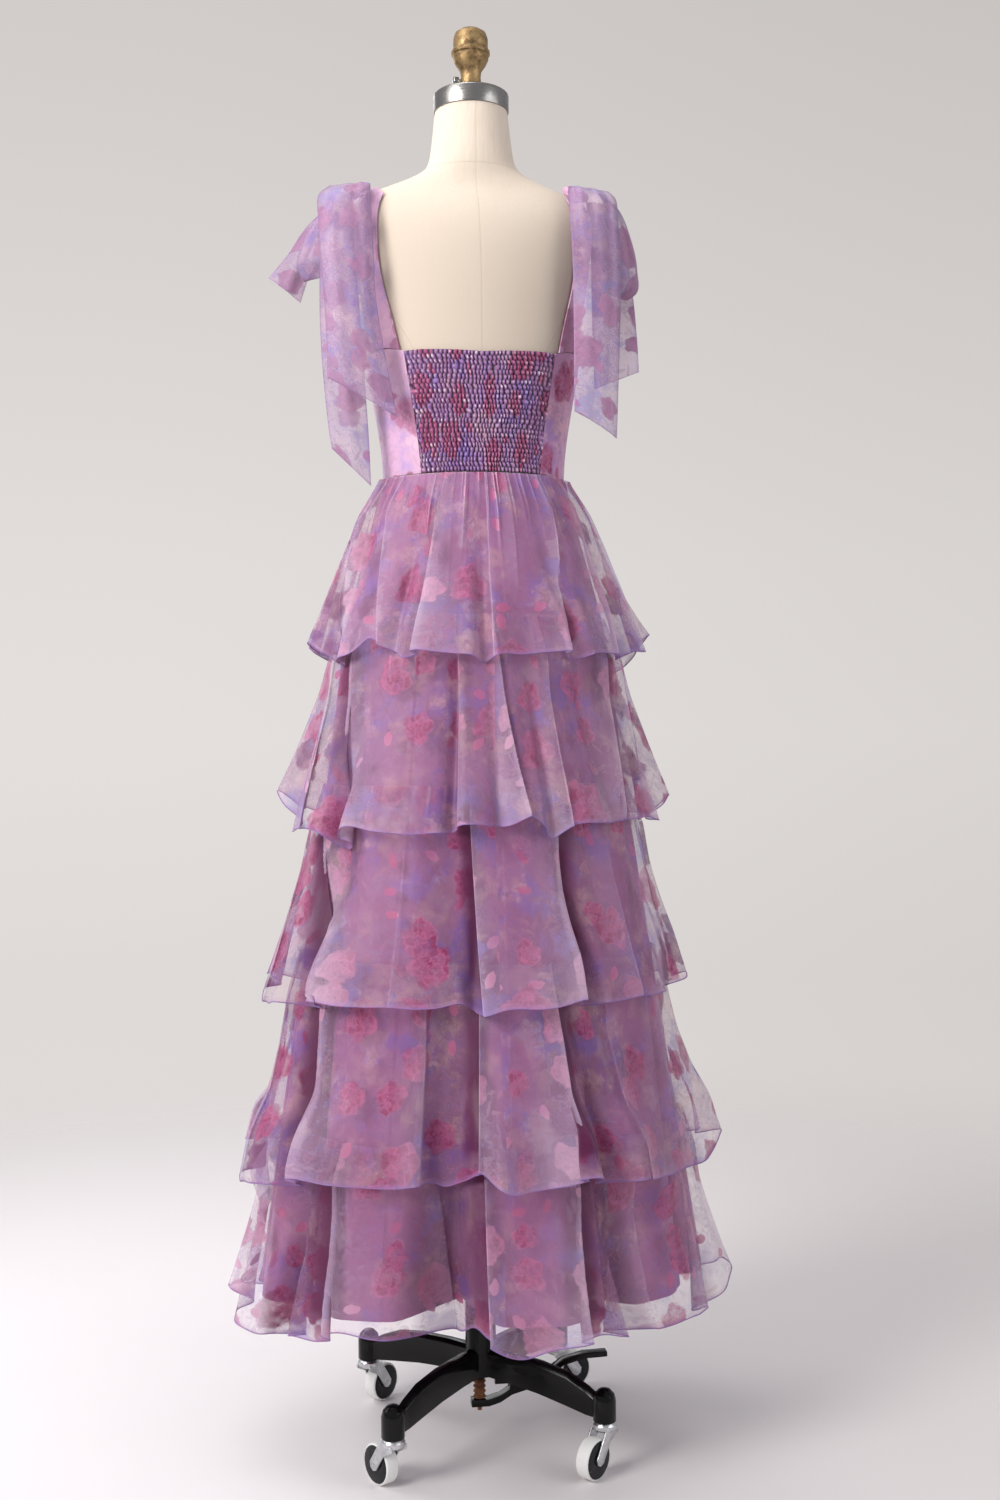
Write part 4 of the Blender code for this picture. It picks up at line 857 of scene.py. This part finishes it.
# How many small gathers each seam has, their height in mm and how far down they reach
TIER_GATHERS = {"tier_1": (64, 3.4, 0.34), "tier_2": (60, 2.2, 0.24), "tier_3": (62, 2.0, 0.20),
                "tier_4": (66, 2.0, 0.20), "tier_5": (70, 2.0, 0.20)}
# How much of what is behind them the tiers hide, from the top down
TIER_COVER = (0.28, 0.26, 0.24, 0.24, 0.14)
# How much of the full print each tier shows; the rest is washed paler
TIER_PRINT = (0.94, 0.96, 1.0, 1.0, 1.0)
# How far each tier's hem is drawn in at the sides, in metres
SIDE_DRAW = (-0.001, 0.0, 0.0, 0.004, 0.002)


def build_lining(table):
    radii, heights = hung_form("lining_skirt", LINING_SEAM_Z, LINING_ROWS, 5.0)
    soft = gathers(3, 26, 1.0, 0.30, 2.4) + long_folds(5, 16, 1.5, 5.0, 0.0)
    radii = radii + fold_field(soft, LINING_ROWS)[0]
    still = np.zeros_like(radii)
    points = round_points(radii, heights, still)
    add_to_table(table, radii, heights, still)
    length, girth = cloth_length(points, int(LINING_ROWS * 0.8))
    down = LINING_SEAM_Z - heights
    laid = np.stack([np.broadcast_to(length, radii.shape), down], 2)
    hem = np.clip((down - down[-1:] + 0.012) / 0.004, 0, 1)
    # Painted shade where the lining sinks below its smoothed round.
    deep = np.clip((smoothed(radii, 36.0) - radii) / 0.016, 0, 1)
    lining = cloth_grid("satin_lining", points, laid, LINING_SATIN, hem=hem, deep=deep)
    declared(lining, "form", "lining_skirt")


def build_tier(number, table):
    name = f"tier_{number}"
    seam_z = TIER_SEAMS[name]
    radii, heights = hung_form(name, seam_z, TIER_ROWS, 3.6)
    count, tall, reach = TIER_GATHERS[name]
    spare = long_folds(20 + number, 18, 6.0, 6.0, 95.0)
    folds, carried, edges = fold_field([*CREASES[name], *spare], TIER_ROWS)
    pleats, _, pleat_edges = fold_field(gathers(40 + number, count, tall, reach, 1.2), TIER_ROWS)
    shares = np.linspace(0, 1, TIER_ROWS)[:, None]
    drift = smoothed(np.random.default_rng(60 + number).normal(size=(1, COLUMNS)), 12.0)
    drift *= 0.003 / np.abs(drift).max()
    plain = smoothed(radii, 45.0)
    flutes = (radii - plain) * (1.0 + 0.25 * shares ** 2)
    radii = plain + flutes + folds - 0.7 * smoothed(folds, 24.0) + pleats
    radii = radii + (drift - SIDE_DRAW[number - 1] * np.abs(SINES) ** 2) * shares ** 3
    flick = smoothed(radii - smoothed(radii, 40.0), 4.0)[-1:]
    heights = heights + (0.28 * flick + drift) * shares ** 4
    for turn, wide, lift, out in HEM_CURLS[name]:
        heights = heights + lift / 1000 * bell_mask(turn, wide) * shares ** 3
        radii = radii + out / 1000 * bell_mask(turn, wide) * shares ** 4
    radii = kept_clear(table, radii, heights, carried)
    add_to_table(table, radii, heights, carried)
    points = round_points(radii, heights, carried)
    length, girth = cloth_length(points, int(TIER_ROWS * 0.7))
    fall = seam_z - heights
    laid = np.stack([np.broadcast_to(length, radii.shape), fall], 2)

    hem = np.clip((shares - 1.0) * fall[-1:] / 0.0024 + 1.0, 0, 1)
    # Painted highlights along sharp fold edges, pleat edges and the tops of the folds; on tier 1
    # the same mark also lays the centre-back seam as a pale line.
    crest = np.maximum(edges * (0.4 + 0.6 * shares), pleat_edges * 0.7)
    crest = np.maximum(crest, 0.72 * np.clip(folds / 0.008, 0, 1))
    if number == 1:
        crest = np.maximum(crest, 0.6 * bell_mask(CENTRE_BACK_SEAM, 0.35))
    # Painted shade where the cloth sinks between folds, and in the listed hollows beside them.
    sunk = np.clip((smoothed(radii, 30.0) - smoothed(radii, 5.0)) / 0.009, 0, 1)
    deep = 0.50 * sunk * np.clip(0.3 + shares, 0, 1)
    for top, end, start, stop, wide, dark in HOLLOW_SHADE[name]:
        ends = (np.clip((shares - start) / 0.2 + 0.3, 0, 1)
                * np.clip((stop - shares) / 0.2 + 0.3, 0, 1))
        deep = np.maximum(deep, dark * one_sided(line_down(top, end, shares), wide) * ends)

    offset = (number * 3.17, number * 1.31, 0.0)
    cloth = organza(f"organza_{name}", offset, TIER_COVER[number - 1], TIER_PRINT[number - 1])
    sheet = cloth_grid(f"sheer_{name}", points, laid, cloth, hem=hem, crest=crest, deep=deep)
    declared(sheet, "form", name)
    edge = rolled_hem(f"rolled_hem_{name}", points[-1], length, HEM_ROLL)
    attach(edge, "form")


def build_skirt():
    """The lining, then the tiers from the lowest up, each kept clear of what it covers."""
    table = np.zeros((len(HEIGHTS), COLUMNS))
    build_lining(table)
    for number in (5, 4, 3, 2, 1):
        build_tier(number, table)


# ---------------------------------------------------------------- copies of solids, finished
def select_only(obj):
    bpy.ops.object.select_all(action="DESELECT")
    bpy.context.view_layer.objects.active = obj
    obj.select_set(True)


def copy_of(node, name):
    """A piece with the node's shape: its points merged and its triangles joined into quads."""
    obj = placed(name, NODES[node].data.copy())
    select_only(obj)
    bpy.ops.object.mode_set(mode="EDIT")
    bpy.ops.mesh.select_all(action="SELECT")
    bpy.ops.mesh.remove_doubles(threshold=0.00002)
    bpy.ops.mesh.customdata_custom_splitnormals_clear()
    bpy.ops.mesh.tris_convert_to_quads(
        face_threshold=math.radians(35), shape_threshold=math.radians(70))
    bpy.ops.object.mode_set(mode="OBJECT")
    return obj


def modified(obj, kind, **settings):
    """The piece with one modifier of this kind applied."""
    modifier = obj.modifiers.new(kind.lower(), kind)
    for key, value in settings.items():
        setattr(modifier, key, value)
    select_only(obj)
    bpy.ops.object.modifier_apply(modifier=modifier.name)
    return obj


def subdivided(obj, levels, crease_over=40.0):
    """Subdivision that keeps every edge sharper than crease_over degrees."""
    mesh = obj.data
    bm = bmesh.new()
    bm.from_mesh(mesh)
    layer = bm.edges.layers.float.get("crease_edge") or bm.edges.layers.float.new("crease_edge")
    for edge in bm.edges:
        sharp = len(edge.link_faces) == 2 and edge.calc_face_angle() > math.radians(crease_over)
        edge[layer] = 1.0 if sharp else 0.0
    bm.to_mesh(mesh)
    bm.free()
    return modified(obj, "SUBSURF", levels=levels, render_levels=levels)


def bevelled(obj, width):
    return modified(obj, "BEVEL", width=width, segments=2, limit_method="ANGLE",
                    angle_limit=math.radians(28.0), use_clamp_overlap=True)


def finished(obj, material, body, node, angle=32.0):
    select_only(obj)
    bpy.ops.object.shade_smooth_by_angle(angle=math.radians(angle))
    obj.data.materials.clear()
    obj.data.materials.append(material)
    for polygon in obj.data.polygons:
        polygon.material_index = 0
    return declared(obj, body, node)


def lay_out_round(obj, centre_turn, radius):
    """Cloth map of a piece that wraps the form: metres round it and up."""
    mesh = obj.data
    spots = np.zeros(len(mesh.vertices) * 3, np.float32)
    mesh.vertices.foreach_get("co", spots)
    spots = spots.reshape(-1, 3)
    turn = turns_off(np.degrees(np.arctan2(spots[:, 0], -spots[:, 1])), centre_turn)
    flat = np.stack([np.radians(turn) * radius, spots[:, 2]], 1)
    corners = np.zeros(len(mesh.loops), np.int32)
    mesh.loops.foreach_get("vertex_index", corners)
    layer = mesh.uv_layers.get("cloth") or mesh.uv_layers.new(name="cloth")
    layer.data.foreach_set("uv", flat[corners].astype(np.float32).ravel())


def cut_of(obj, height, fullness=1.0):
    """Width and height of the flat cut of a walled piece, for its area times this fullness."""
    area = sum(polygon.area for polygon in obj.data.polygons) / 2
    return area * fullness / height, height


def build_fitted(node, levels, turn, radius, cloth, height):
    """A smooth piece of cloth stretched on the form, copied from its solid."""
    piece = subdivided(copy_of(node, "satin_" + node), levels)
    lay_out_round(piece, turn, radius)
    finished(piece, cloth, "form", node, 60)
    cut_of(piece, height)


PANELS = (
    # node  turn of its middle  height of the cut  how much of the full print shows  ground tone,
    # darker on the right-hand panels as painted shade
    ("side_back_right", 65.0, 0.158, 1.0, (0.620, 0.300, 0.480)),
    ("side_front_right", 118.0, 0.200, 1.0, (0.760, 0.420, 0.600)),
    ("front_panel", 180.0, 0.200, 1.0, (0.860, 0.510, 0.700)),
    ("side_front_left", 242.0, 0.200, 0.9, (0.860, 0.510, 0.700)),
    ("side_back_left", -65.0, 0.158, 0.75, (0.810, 0.520, 0.680)),
)


def build_bodice():
    for node, turn, height, wash, tint in PANELS:
        cloth = printed_satin("printed_" + node, (turn / 60.0, turn / 37.0, 0.0), wash, tint)
        build_fitted(node, 3, turn, 0.125, cloth, height)


def build_straps():
    for node in ("strap_back_right", "strap_back_left", "strap_front_right", "strap_front_left"):
        low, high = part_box(node)
        cloth = printed_satin("printed_" + node, (len(node) * 0.53, 3.4, 0.0), 0.7)
        build_fitted(node, 2, 60.0 if "right" in node else -60.0, 0.13, cloth,
                     float(high.z - low.z) * 1.05)


def build_smocking():
    """Shirred back panel: rows of elastic with small slanting puffs of cloth between them."""
    node = "back_panel_smocked"
    tree = surface_of(node)
    rows, columns, elastic_rows, puffs = 190, 240, 25, 33.0
    foot_z, tall, highest_z = 1.2402, 0.148, 1.3830
    chance = np.random.default_rng(11)
    starts = chance.uniform(0, 1, elastic_rows + 1)
    leans = chance.uniform(-0.15, 0.35, elastic_rows + 1)

    def uneven(spread, most):
        values = smoothed(chance.normal(size=(elastic_rows + 1, columns)), spread, wrap=False)
        return values * (most / np.abs(values).max())

    wander, size = uneven(7.0, 1.5), uneven(4.0, 0.55)
    across = np.linspace(-1.0, 1.0, columns)
    points, laid = np.zeros((rows, columns, 3)), np.zeros((rows, columns, 2))
    low, high = np.zeros((rows, columns)), np.zeros((rows, columns))
    edge_z = np.linspace(1.2415, 1.3860, 7)
    ends = [[edge_between(80.0 * side, 0.0, 14,
                          lambda turn: outside_radius(tree, turn, z) is not None)
             for z in edge_z] for side in (-1, 1)]
    for r in range(rows):
        rise = 1 - r / (rows - 1)
        left, right = (np.interp(foot_z + tall * rise, edge_z, reach) for reach in ends)
        turns = np.where(across < 0, -across * left, across * right)
        tops = np.interp(np.abs(turns), (0, 44), (1.3883, 1.3928))
        line = np.zeros(columns)
        for c, turn in enumerate(turns):
            z = foot_z + (tops[c] - foot_z) * rise
            found = outside_radius(tree, turn, min(z, highest_z))
            line[c] = found if found is not None else (line[c - 1] if c else 0.115)
            points[r, c] = (math.sin(math.radians(turn)), -math.cos(math.radians(turn)), z)
            laid[r, c] = (math.radians(turn) * 0.19, (1 - rise) * 0.15)
        line[0], line[-1] = line[2], line[-3]
        line = smoothed(line[None, :], 5.0, wrap=False)[0]
        spot = (1 - rise) * elastic_rows
        band = min(int(spot), elastic_rows - 1)
        within = spot - band
        puff = 0.50 + 0.50 * math.sin(math.pi * within) ** 0.7
        count = ((across + 1) / 2 * puffs + starts[band] + wander[band]
                 + leans[band] * (0.5 - within))
        wave = np.abs(np.sin(math.pi * count)) ** 0.8
        height = puff * wave * (0.80 + size[band])
        # Painted shade in the grooves between the puffs and along the elastic rows; painted
        # highlights on the tallest puffs.
        low[r] = np.clip(1.62 - 1.9 * wave, 0, 1) + 0.60 * (1 - puff)
        high[r] = np.clip((height - 0.74) / 0.22, 0, 1) * np.clip(0.5 + 2.2 * size[band], 0, 1)
        points[r, :, :2] *= (line - 0.0014 + 0.0042 * height)[:, None]
    cloth = printed_satin("printed_smocking", (2.9, 6.4, 0.0), tint=(0.200, 0.085, 0.300),
                          puffed=True)
    sheet = cloth_grid("shirred_back", points, laid, cloth, closed=False,
                       low=np.clip(low, 0, 1), high=high)
    modified(sheet, "SOLIDIFY", thickness=0.0012, offset=-1.0)
    declared(sheet, "form", node)
    cut_of(sheet, 0.152, 1.35)


# ---------------------------------------------------------------- shoulder ties
# Middle line of each ribbon from its knot: place, half width, turn of its width in plan,
# how much higher its far edge is and how it is cupped, as in the part.
TIES = {
    "tie_tail_wide_right": (
        (0.1500, -0.0200, 1.6190, 0.0260, 0, -0.003, 0.0015),
        (0.1500, -0.0420, 1.6050, 0.0310, 4, -0.004, 0.0060),
        (0.1480, -0.0640, 1.5680, 0.0320, 6, -0.002, 0.0070),
        (0.1480, -0.0780, 1.5200, 0.0320, 8, 0.000, 0.0050),
        (0.1470, -0.0850, 1.4600, 0.0310, 6, 0.000, 0.0060),
        (0.1455, -0.0880, 1.3900, 0.0300, 8, 0.000, 0.0050),
        (0.1430, -0.0890, 1.3000, 0.0280, 8, -0.016, 0.0040),
    ),
    "tie_loop_right": (
        (0.1660, 0.0000, 1.6210, 0.0100, 70, 0.000, 0.0010),
        (0.1800, -0.0160, 1.5980, 0.0200, 50, 0.000, 0.0040),
        (0.1930, -0.0220, 1.5600, 0.0230, 46, 0.000, 0.0050),
        (0.2000, -0.0240, 1.5200, 0.0230, 44, 0.000, 0.0050),
        (0.1990, -0.0230, 1.4880, 0.0220, 44, 0.000, 0.0020),
        (0.1880, -0.0140, 1.4820, 0.0210, 44, 0.000, -0.0020),
        (0.1790, -0.0060, 1.5000, 0.0210, 46, 0.000, -0.0040),
        (0.1740, -0.0010, 1.5500, 0.0200, 50, 0.000, -0.0040),
        (0.1720, 0.0060, 1.6080, 0.0100, 56, 0.000, -0.0010),
    ),
    "tie_tail_sheer_right": (
        (0.1660, 0.0210, 1.6150, 0.0120, 10, 0.000, 0.0010),
        (0.1840, 0.0260, 1.5600, 0.0230, 6, 0.000, 0.0030),
        (0.1900, 0.0240, 1.5000, 0.0280, 4, 0.000, 0.0030),
        (0.1920, 0.0180, 1.4400, 0.0300, 2, 0.000, 0.0030),
        (0.1930, 0.0120, 1.3780, 0.0300, 0, 0.012, 0.0030),
    ),
    "tie_tail_wide_left": (
        (-0.1590, -0.0200, 1.6140, 0.0260, 0, 0.003, 0.0015),
        (-0.1670, -0.0420, 1.6000, 0.0320, -4, 0.006, 0.0050),
        (-0.1680, -0.0620, 1.5580, 0.0330, -6, 0.004, 0.0070),
        (-0.1660, -0.0710, 1.5100, 0.0330, -8, 0.000, 0.0060),
        (-0.1630, -0.0760, 1.4550, 0.0320, -6, 0.000, 0.0070),
        (-0.1570, -0.0800, 1.3950, 0.0360, -4, -0.010, 0.0050),
        (-0.1490, -0.0830, 1.3300, 0.0430, -2, -0.024, 0.0040),
    ),
    "tie_tail_long_left": (
        (-0.1680, -0.0290, 1.6000, 0.0110, -30, 0.000, 0.0010),
        (-0.1760, -0.0330, 1.5600, 0.0200, -24, 0.000, 0.0030),
        (-0.1760, -0.0430, 1.5000, 0.0240, -20, 0.000, 0.0030),
        (-0.1740, -0.0450, 1.4300, 0.0260, -16, 0.000, 0.0030),
        (-0.1690, -0.0450, 1.3500, 0.0260, -12, 0.000, 0.0030),
        (-0.1640, -0.0430, 1.2900, 0.0250, -10, -0.004, 0.0030),
        (-0.1610, -0.0420, 1.2500, 0.0245, -8, -0.024, 0.0020),
    ),
    "tie_loop_left": (
        (-0.1760, 0.0070, 1.6100, 0.0090, -70, 0.000, 0.0010),
        (-0.1890, -0.0030, 1.5800, 0.0180, -52, 0.000, 0.0040),
        (-0.2040, -0.0080, 1.5450, 0.0210, -48, 0.000, 0.0040),
        (-0.2110, -0.0100, 1.5100, 0.0210, -46, 0.000, 0.0020),
        (-0.2030, -0.0030, 1.4980, 0.0200, -46, 0.000, -0.0020),
        (-0.1940, 0.0040, 1.5150, 0.0200, -48, 0.000, -0.0040),
        (-0.1830, 0.0120, 1.5550, 0.0180, -54, 0.000, -0.0040),
        (-0.1760, 0.0110, 1.5980, 0.0090, -60, 0.000, -0.0010),
    ),
    "tie_tail_outer_left": (
        (-0.1640, 0.0300, 1.6100, 0.0120, -8, 0.000, 0.0010),
        (-0.1940, 0.0340, 1.5820, 0.0180, -6, 0.006, 0.0030),
        (-0.2180, 0.0360, 1.5420, 0.0200, -4, 0.004, 0.0030),
        (-0.2420, 0.0360, 1.4920, 0.0205, -2, -0.016, 0.0030),
    ),
}
# Folds down each ribbon: place across it at the knot and at the end (-1 to 1), height in mm, width
TIE_FOLDS = {
    "tie_tail_wide_right": ((-0.55, -0.45, 3.6, 0.22), (0.15, 0.30, 4.2, 0.24),
                            (0.78, 0.75, 2.6, 0.12)),
    "tie_tail_wide_left": ((-0.65, -0.60, 3.2, 0.20), (0.05, 0.20, 4.2, 0.26),
                           (0.68, 0.62, 3.0, 0.13)),
    "tie_tail_long_left": ((-0.2, 0.30, 3.0, 0.22), (0.6, 0.45, -2.0, 0.20)),
    "tie_tail_outer_left": ((-0.3, 0.2, 2.8, 0.20), (0.5, 0.55, -1.8, 0.18)),
    "tie_tail_sheer_right": ((-0.3, -0.45, 2.4, 0.20), (0.4, 0.2, -2.0, 0.20)),
    "tie_loop_right": ((-0.5, -0.3, 2.8, 0.20), (0.4, 0.4, 2.6, 0.20)),
    "tie_loop_left": ((-0.4, -0.4, 2.6, 0.20), (0.3, 0.3, 2.6, 0.20)),
}


def through(rows, count):
    """Rows of numbers run smoothly through a short table, and how far along it each one is."""
    rows = np.array(rows, float)
    steps = np.linalg.norm(np.diff(rows[:, :3], axis=0), axis=1)
    along = np.concatenate([[0.0], np.cumsum(steps)])
    spots = np.linspace(0.0, along[-1], count)
    slopes = np.gradient(rows, along, axis=0)
    place = np.clip(np.searchsorted(along, spots, side="right") - 1, 0, len(rows) - 2)
    span = (along[place + 1] - along[place])[:, None]
    t = (spots - along[place])[:, None] / span
    first, second = rows[place], rows[place + 1]
    m0, m1 = slopes[place] * span, slopes[place + 1] * span
    cubic = ((2 * t ** 3 - 3 * t ** 2 + 1) * first + (t ** 3 - 2 * t ** 2 + t) * m0
             + (-2 * t ** 3 + 3 * t ** 2) * second + (t ** 3 - t ** 2) * m1)
    return cubic, spots


def build_ties():
    columns, border_width, wall = 36, 0.0028, 0.0011
    spread = np.linspace(-1.0, 1.0, columns)[None, :]
    for number, (node, rows) in enumerate(TIES.items()):
        loop, right = "loop" in node, "right" in node
        count = 110 if loop else 96
        line, along = through(rows, count)
        half_width, tilt, cup = line[:, 3:4], line[:, 5:6], line[:, 6:7]
        turn, level = np.radians(line[:, 4]), np.zeros(count)
        side = np.stack([np.cos(turn), np.sin(turn), level], 1)
        outward = np.stack([side[:, 1], -side[:, 0], level], 1)
        share = (along / along[-1])[:, None]
        near_knot = np.exp(-share / 0.10) + (np.exp(-(1 - share) / 0.10) if loop else 0.0)
        relief = (0.0026 * near_knot * np.sin(spread * 7.0 + number)
                  * (0.6 + 0.4 * np.cos(spread * 13.0)))
        for top, end, height, wide in TIE_FOLDS[node]:
            middle = top + (end - top) * share
            rounded = np.exp(-np.abs((spread - middle) / (1.6 * wide)) ** 2)
            relief = relief + height / 1000 * rounded * np.clip(1.1 - 0.5 * share, 0, 1)
        lift = cup * (1 - spread ** 2) + relief
        points = (line[:, None, :3] + side[:, None, :] * (half_width * spread)[..., None]
                  + outward[:, None, :] * lift[..., None])
        points[..., 2] += tilt * spread
        laid = 1.25 * np.stack(
            np.broadcast_arrays(half_width.max() * spread, along[:, None]), 2)
        border = np.clip(1 - (1 - np.abs(spread)) * half_width / border_width, 0, 1)
        if not loop:
            border = np.maximum(
                border, np.clip(1 - (1 - share) * along[-1] / border_width, 0, 1))
        curve = np.roll(relief, 1, 1) + np.roll(relief, -1, 1) - 2 * relief
        curve[:, 0] = curve[:, -1] = 0
        # Painted highlights on the fold crests, and painted shade in the valleys between the folds,
        # heavier on the right-hand ties.
        crest = 0.20 * np.clip(-curve / 0.0006, 0, 1)
        painted_valley_shade = ((0.55 if right else 0.30) * np.clip(1 - relief / 0.003, 0, 1)
                  * np.clip(1.3 - 1.6 * share, 0, 1))
        cloth = organza("organza_" + node, (number * 2.3 + 20.0, number * 1.7, 0.0), 0.33, 1.0,
                        1.00 if right else 0.85, 0.36)
        piece = cloth_grid("ribbon_" + node, points, laid, cloth, closed=False,
                           hem=border * 0.6, crest=crest, deep=painted_valley_shade)
        modified(piece, "SOLIDIFY", thickness=wall, offset=0.0)
        declared(piece, "form", node)
        float(2 * half_width.mean())


def build_knots():
    for node, turn, offset in (("tie_knot_right", 90.0, 3.3), ("tie_knot_left", -90.0, 9.1)):
        piece = subdivided(copy_of(node, "wrapped_" + node), 2, 180.0)
        low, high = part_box(node)
        centre = (low + high) / 2
        for vertex in piece.data.vertices:
            away = vertex.co - centre
            bend = 0.6 * math.sin(away.y * 260.0)
            ridge = abs(math.sin(away.x * 330.0 + away.z * 90.0 + bend))
            vertex.co += away.normalized() * 0.0016 * (ridge - 0.55)
        lay_out_round(piece, turn, 0.15)
        cloth = printed_satin("knot_" + node, (7.7, offset, 0.0), 0.9)
        finished(piece, cloth, "form", node, 60)


# ---------------------------------------------------------------- form and stand
def build_torso():
    piece = subdivided(copy_of("form_torso", "linen_torso"), 2, 60.0)
    finished(piece, LINEN, "form", "form_torso", 50)


def turned_profile(obj):
    """Fuller dome and a straighter neck on the turned finial, by height from foot to top."""
    heights = [vertex.co.z for vertex in obj.data.vertices]
    low, high = min(heights), max(heights)
    at = (0.0, 0.18, 0.30, 0.45, 0.58, 0.75, 0.88, 0.95, 1.0)
    wider = (1.12, 1.14, 0.93, 0.95, 1.00, 1.02, 1.09, 1.15, 1.0)
    for vertex in obj.data.vertices:
        scale = float(np.interp((vertex.co.z - low) / (high - low), at, wider))
        vertex.co.x *= scale
        vertex.co.y *= scale


def build_hard_pieces():
    black = enamel("black_enamel_gloss", (0.003, 0.003, 0.003), 0.15, 0.015)
    wheel_black = enamel("wheel_black_gloss", (0.012, 0.012, 0.014), 0.30, 0.25)
    nylon = enamel("tread_nylon", (0.80, 0.80, 0.78), 0.42, 0.16)
    steel = worn_metal("ground_steel", (0.34, 0.325, 0.31), (0.19, 0.18, 0.175), 0.28,
                       brushed=(30.0, 30.0, 900.0))
    zinc = worn_metal("zinc_plate", (0.66, 0.67, 0.69), (0.40, 0.41, 0.43), 0.32,
                      brushed=(300.0, 300.0, 300.0))
    brass = worn_metal("aged_brass", (0.450, 0.300, 0.140), (0.085, 0.050, 0.026), 0.46, 0.85,
                       brushed=(420.0, 420.0, 420.0), wear=0.85, grain=0.55)
    rust = worn_metal("rusty_steel", (0.30, 0.13, 0.06), (0.12, 0.05, 0.03), 0.65, 0.6,
                      wear=0.9)
    work = [
        # node, body, slot, material, bevel width
        ("base_casting", "stand", "black_enamel", black, 0.0030),
        ("stand_tube", "stand", "tube_steel", steel, 0.0005),
        ("pole", "form", "tube_steel", steel, 0.0005),
        ("neck_cap", "form", "cap_steel", steel, 0.0015),
        ("finial", "form", "old_brass", brass, 0.0006),
        ("thumb_screw", "height_screw", "cap_steel", steel, 0.0005),
        ("pedal", "lifting_pedal", "pedal_enamel", black, 0.0016),
        ("pedal_rod", "lifting_pedal", "rusted_steel", rust, 0.0003),
    ]
    for corner in ("front_right", "front_left", "rear_left", "rear_right"):
        work += [
            (f"caster_fork_{corner}", f"swivel_{corner}", "zinc", zinc, 0.0005),
            (f"wheel_core_{corner}", f"wheel_{corner}", "wheel_black", wheel_black, 0.0008),
            (f"wheel_tread_{corner}", f"wheel_{corner}", "white_nylon", nylon, 0.0010),
        ]
    for node, body, slot, material, width in work:
        piece = bevelled(copy_of(node, "finished_" + node), width)
        if node == "finial":
            turned_profile(piece)
        finished(piece, material, body, node)


# ---------------------------------------------------------------- studio
SKY_TONES = (
    # height from straight down (0) to straight up (1), colour
    (0.0, (0.790, 0.745, 0.735)), (0.36, (0.735, 0.700, 0.680)), (0.50, (0.775, 0.740, 0.718)),
    (0.60, (0.760, 0.725, 0.705)), (0.90, (0.640, 0.605, 0.585)))


def build_sky():
    """Pale studio all round, seen at full strength by the camera but lighting the dress dimly."""
    world = bpy.data.worlds.new("studio")
    bpy.context.scene.world = world
    world.use_nodes = True
    tree = world.node_tree
    background = tree.nodes["Background"]
    way = put(tree, "TexCoord")["Generated"].split()
    ramp = put(tree, "ValToRGB", {0: way[2].times_plus(1.0, 0.5)})[0]
    stops = ramp.socket.node.color_ramp.elements
    while len(stops) < len(SKY_TONES):
        stops.new(0.5)
    for stop, (at, tone) in zip(stops, SKY_TONES):
        stop.position = at
        stop.color = (*tone, 1.0)
    fill(background.inputs["Color"], ramp)
    # Painted shade: the backdrop that the camera sees grows darker towards +X, away from the key
    # light.
    fill(background.inputs["Strength"], way[0].step(-0.10, 0.55).times_plus(-0.11, 1.0))
    dim = put(tree, "Background", {"Color": (0.95, 0.95, 1.0, 1.0), "Strength": 0.42})[0]
    seen = put(tree, "LightPath")["Is Camera Ray"]
    mixed = put(tree, "MixShader", {0: seen, 1: dim, 2: Value(tree, background.outputs[0])})[0]
    fill(tree.nodes["World Output"].inputs[0], mixed)


def build_floor():
    bpy.ops.object.select_all(action="DESELECT")
    bpy.ops.mesh.primitive_circle_add(vertices=96, radius=3.2, fill_type="NGON",
                                      location=(0, 0, -0.0002))
    floor = bpy.context.object
    floor.name = "studio_floor"
    material, tree = new_material("studio_floor", Roughness=0.7, Specular_IOR_Level=0.2)
    place = object_place(tree)
    colour = blend(place.noise(3.0, 3.0), (0.775, 0.735, 0.747), (0.795, 0.755, 0.767))
    # Painted shade: the floor darker towards +X, away from the key light.
    colour = blend(place.split()[0].step(-0.4, 1.0), colour, (0.735, 0.690, 0.680))
    feed(material, Base_Color=colour, Alpha=place.length().step(2.7, 0.7))
    floor.data.materials.append(material)


def build_studio():
    bpy.context.scene.view_settings.view_transform = "Standard"
    build_sky()
    build_floor()
    soft_light("key", (-2.5, -1.7, 2.35), (0, 0, 1.50), 1.5, 35, (1.0, 0.985, 0.965), spread=100)
    soft_light("fill", (2.7, -1.9, 1.8), (0, 0, 1.1), 2.4, 30, (0.98, 0.98, 1.0))
    soft_light("top", (-0.5, -0.2, 3.3), (0, 0, 1.5), 1.4, 20)
    soft_light("back", (-0.6, 3.2, 2.0), (0, 0, 0.9), 2.4, 26)
    soft_light("floor", (-2.2, 0.9, 1.9), (-1.1, 0.4, 0), 1.2, 6.5, spread=80)


PRINT = build_print()
WEAVE = build_weave()
LINING_SATIN = satin_lining()
LINEN = linen_cover()
HEM_ROLL = worn_metal("hem_roll", (0.21, 0.14, 0.36), (0.38, 0.11, 0.25), 0.55, 0.0, wear=0.8)

place_camera()
build_studio()
build_skirt()
build_bodice()
build_smocking()
build_straps()
build_ties()
build_knots()
build_torso()
build_hard_pieces()
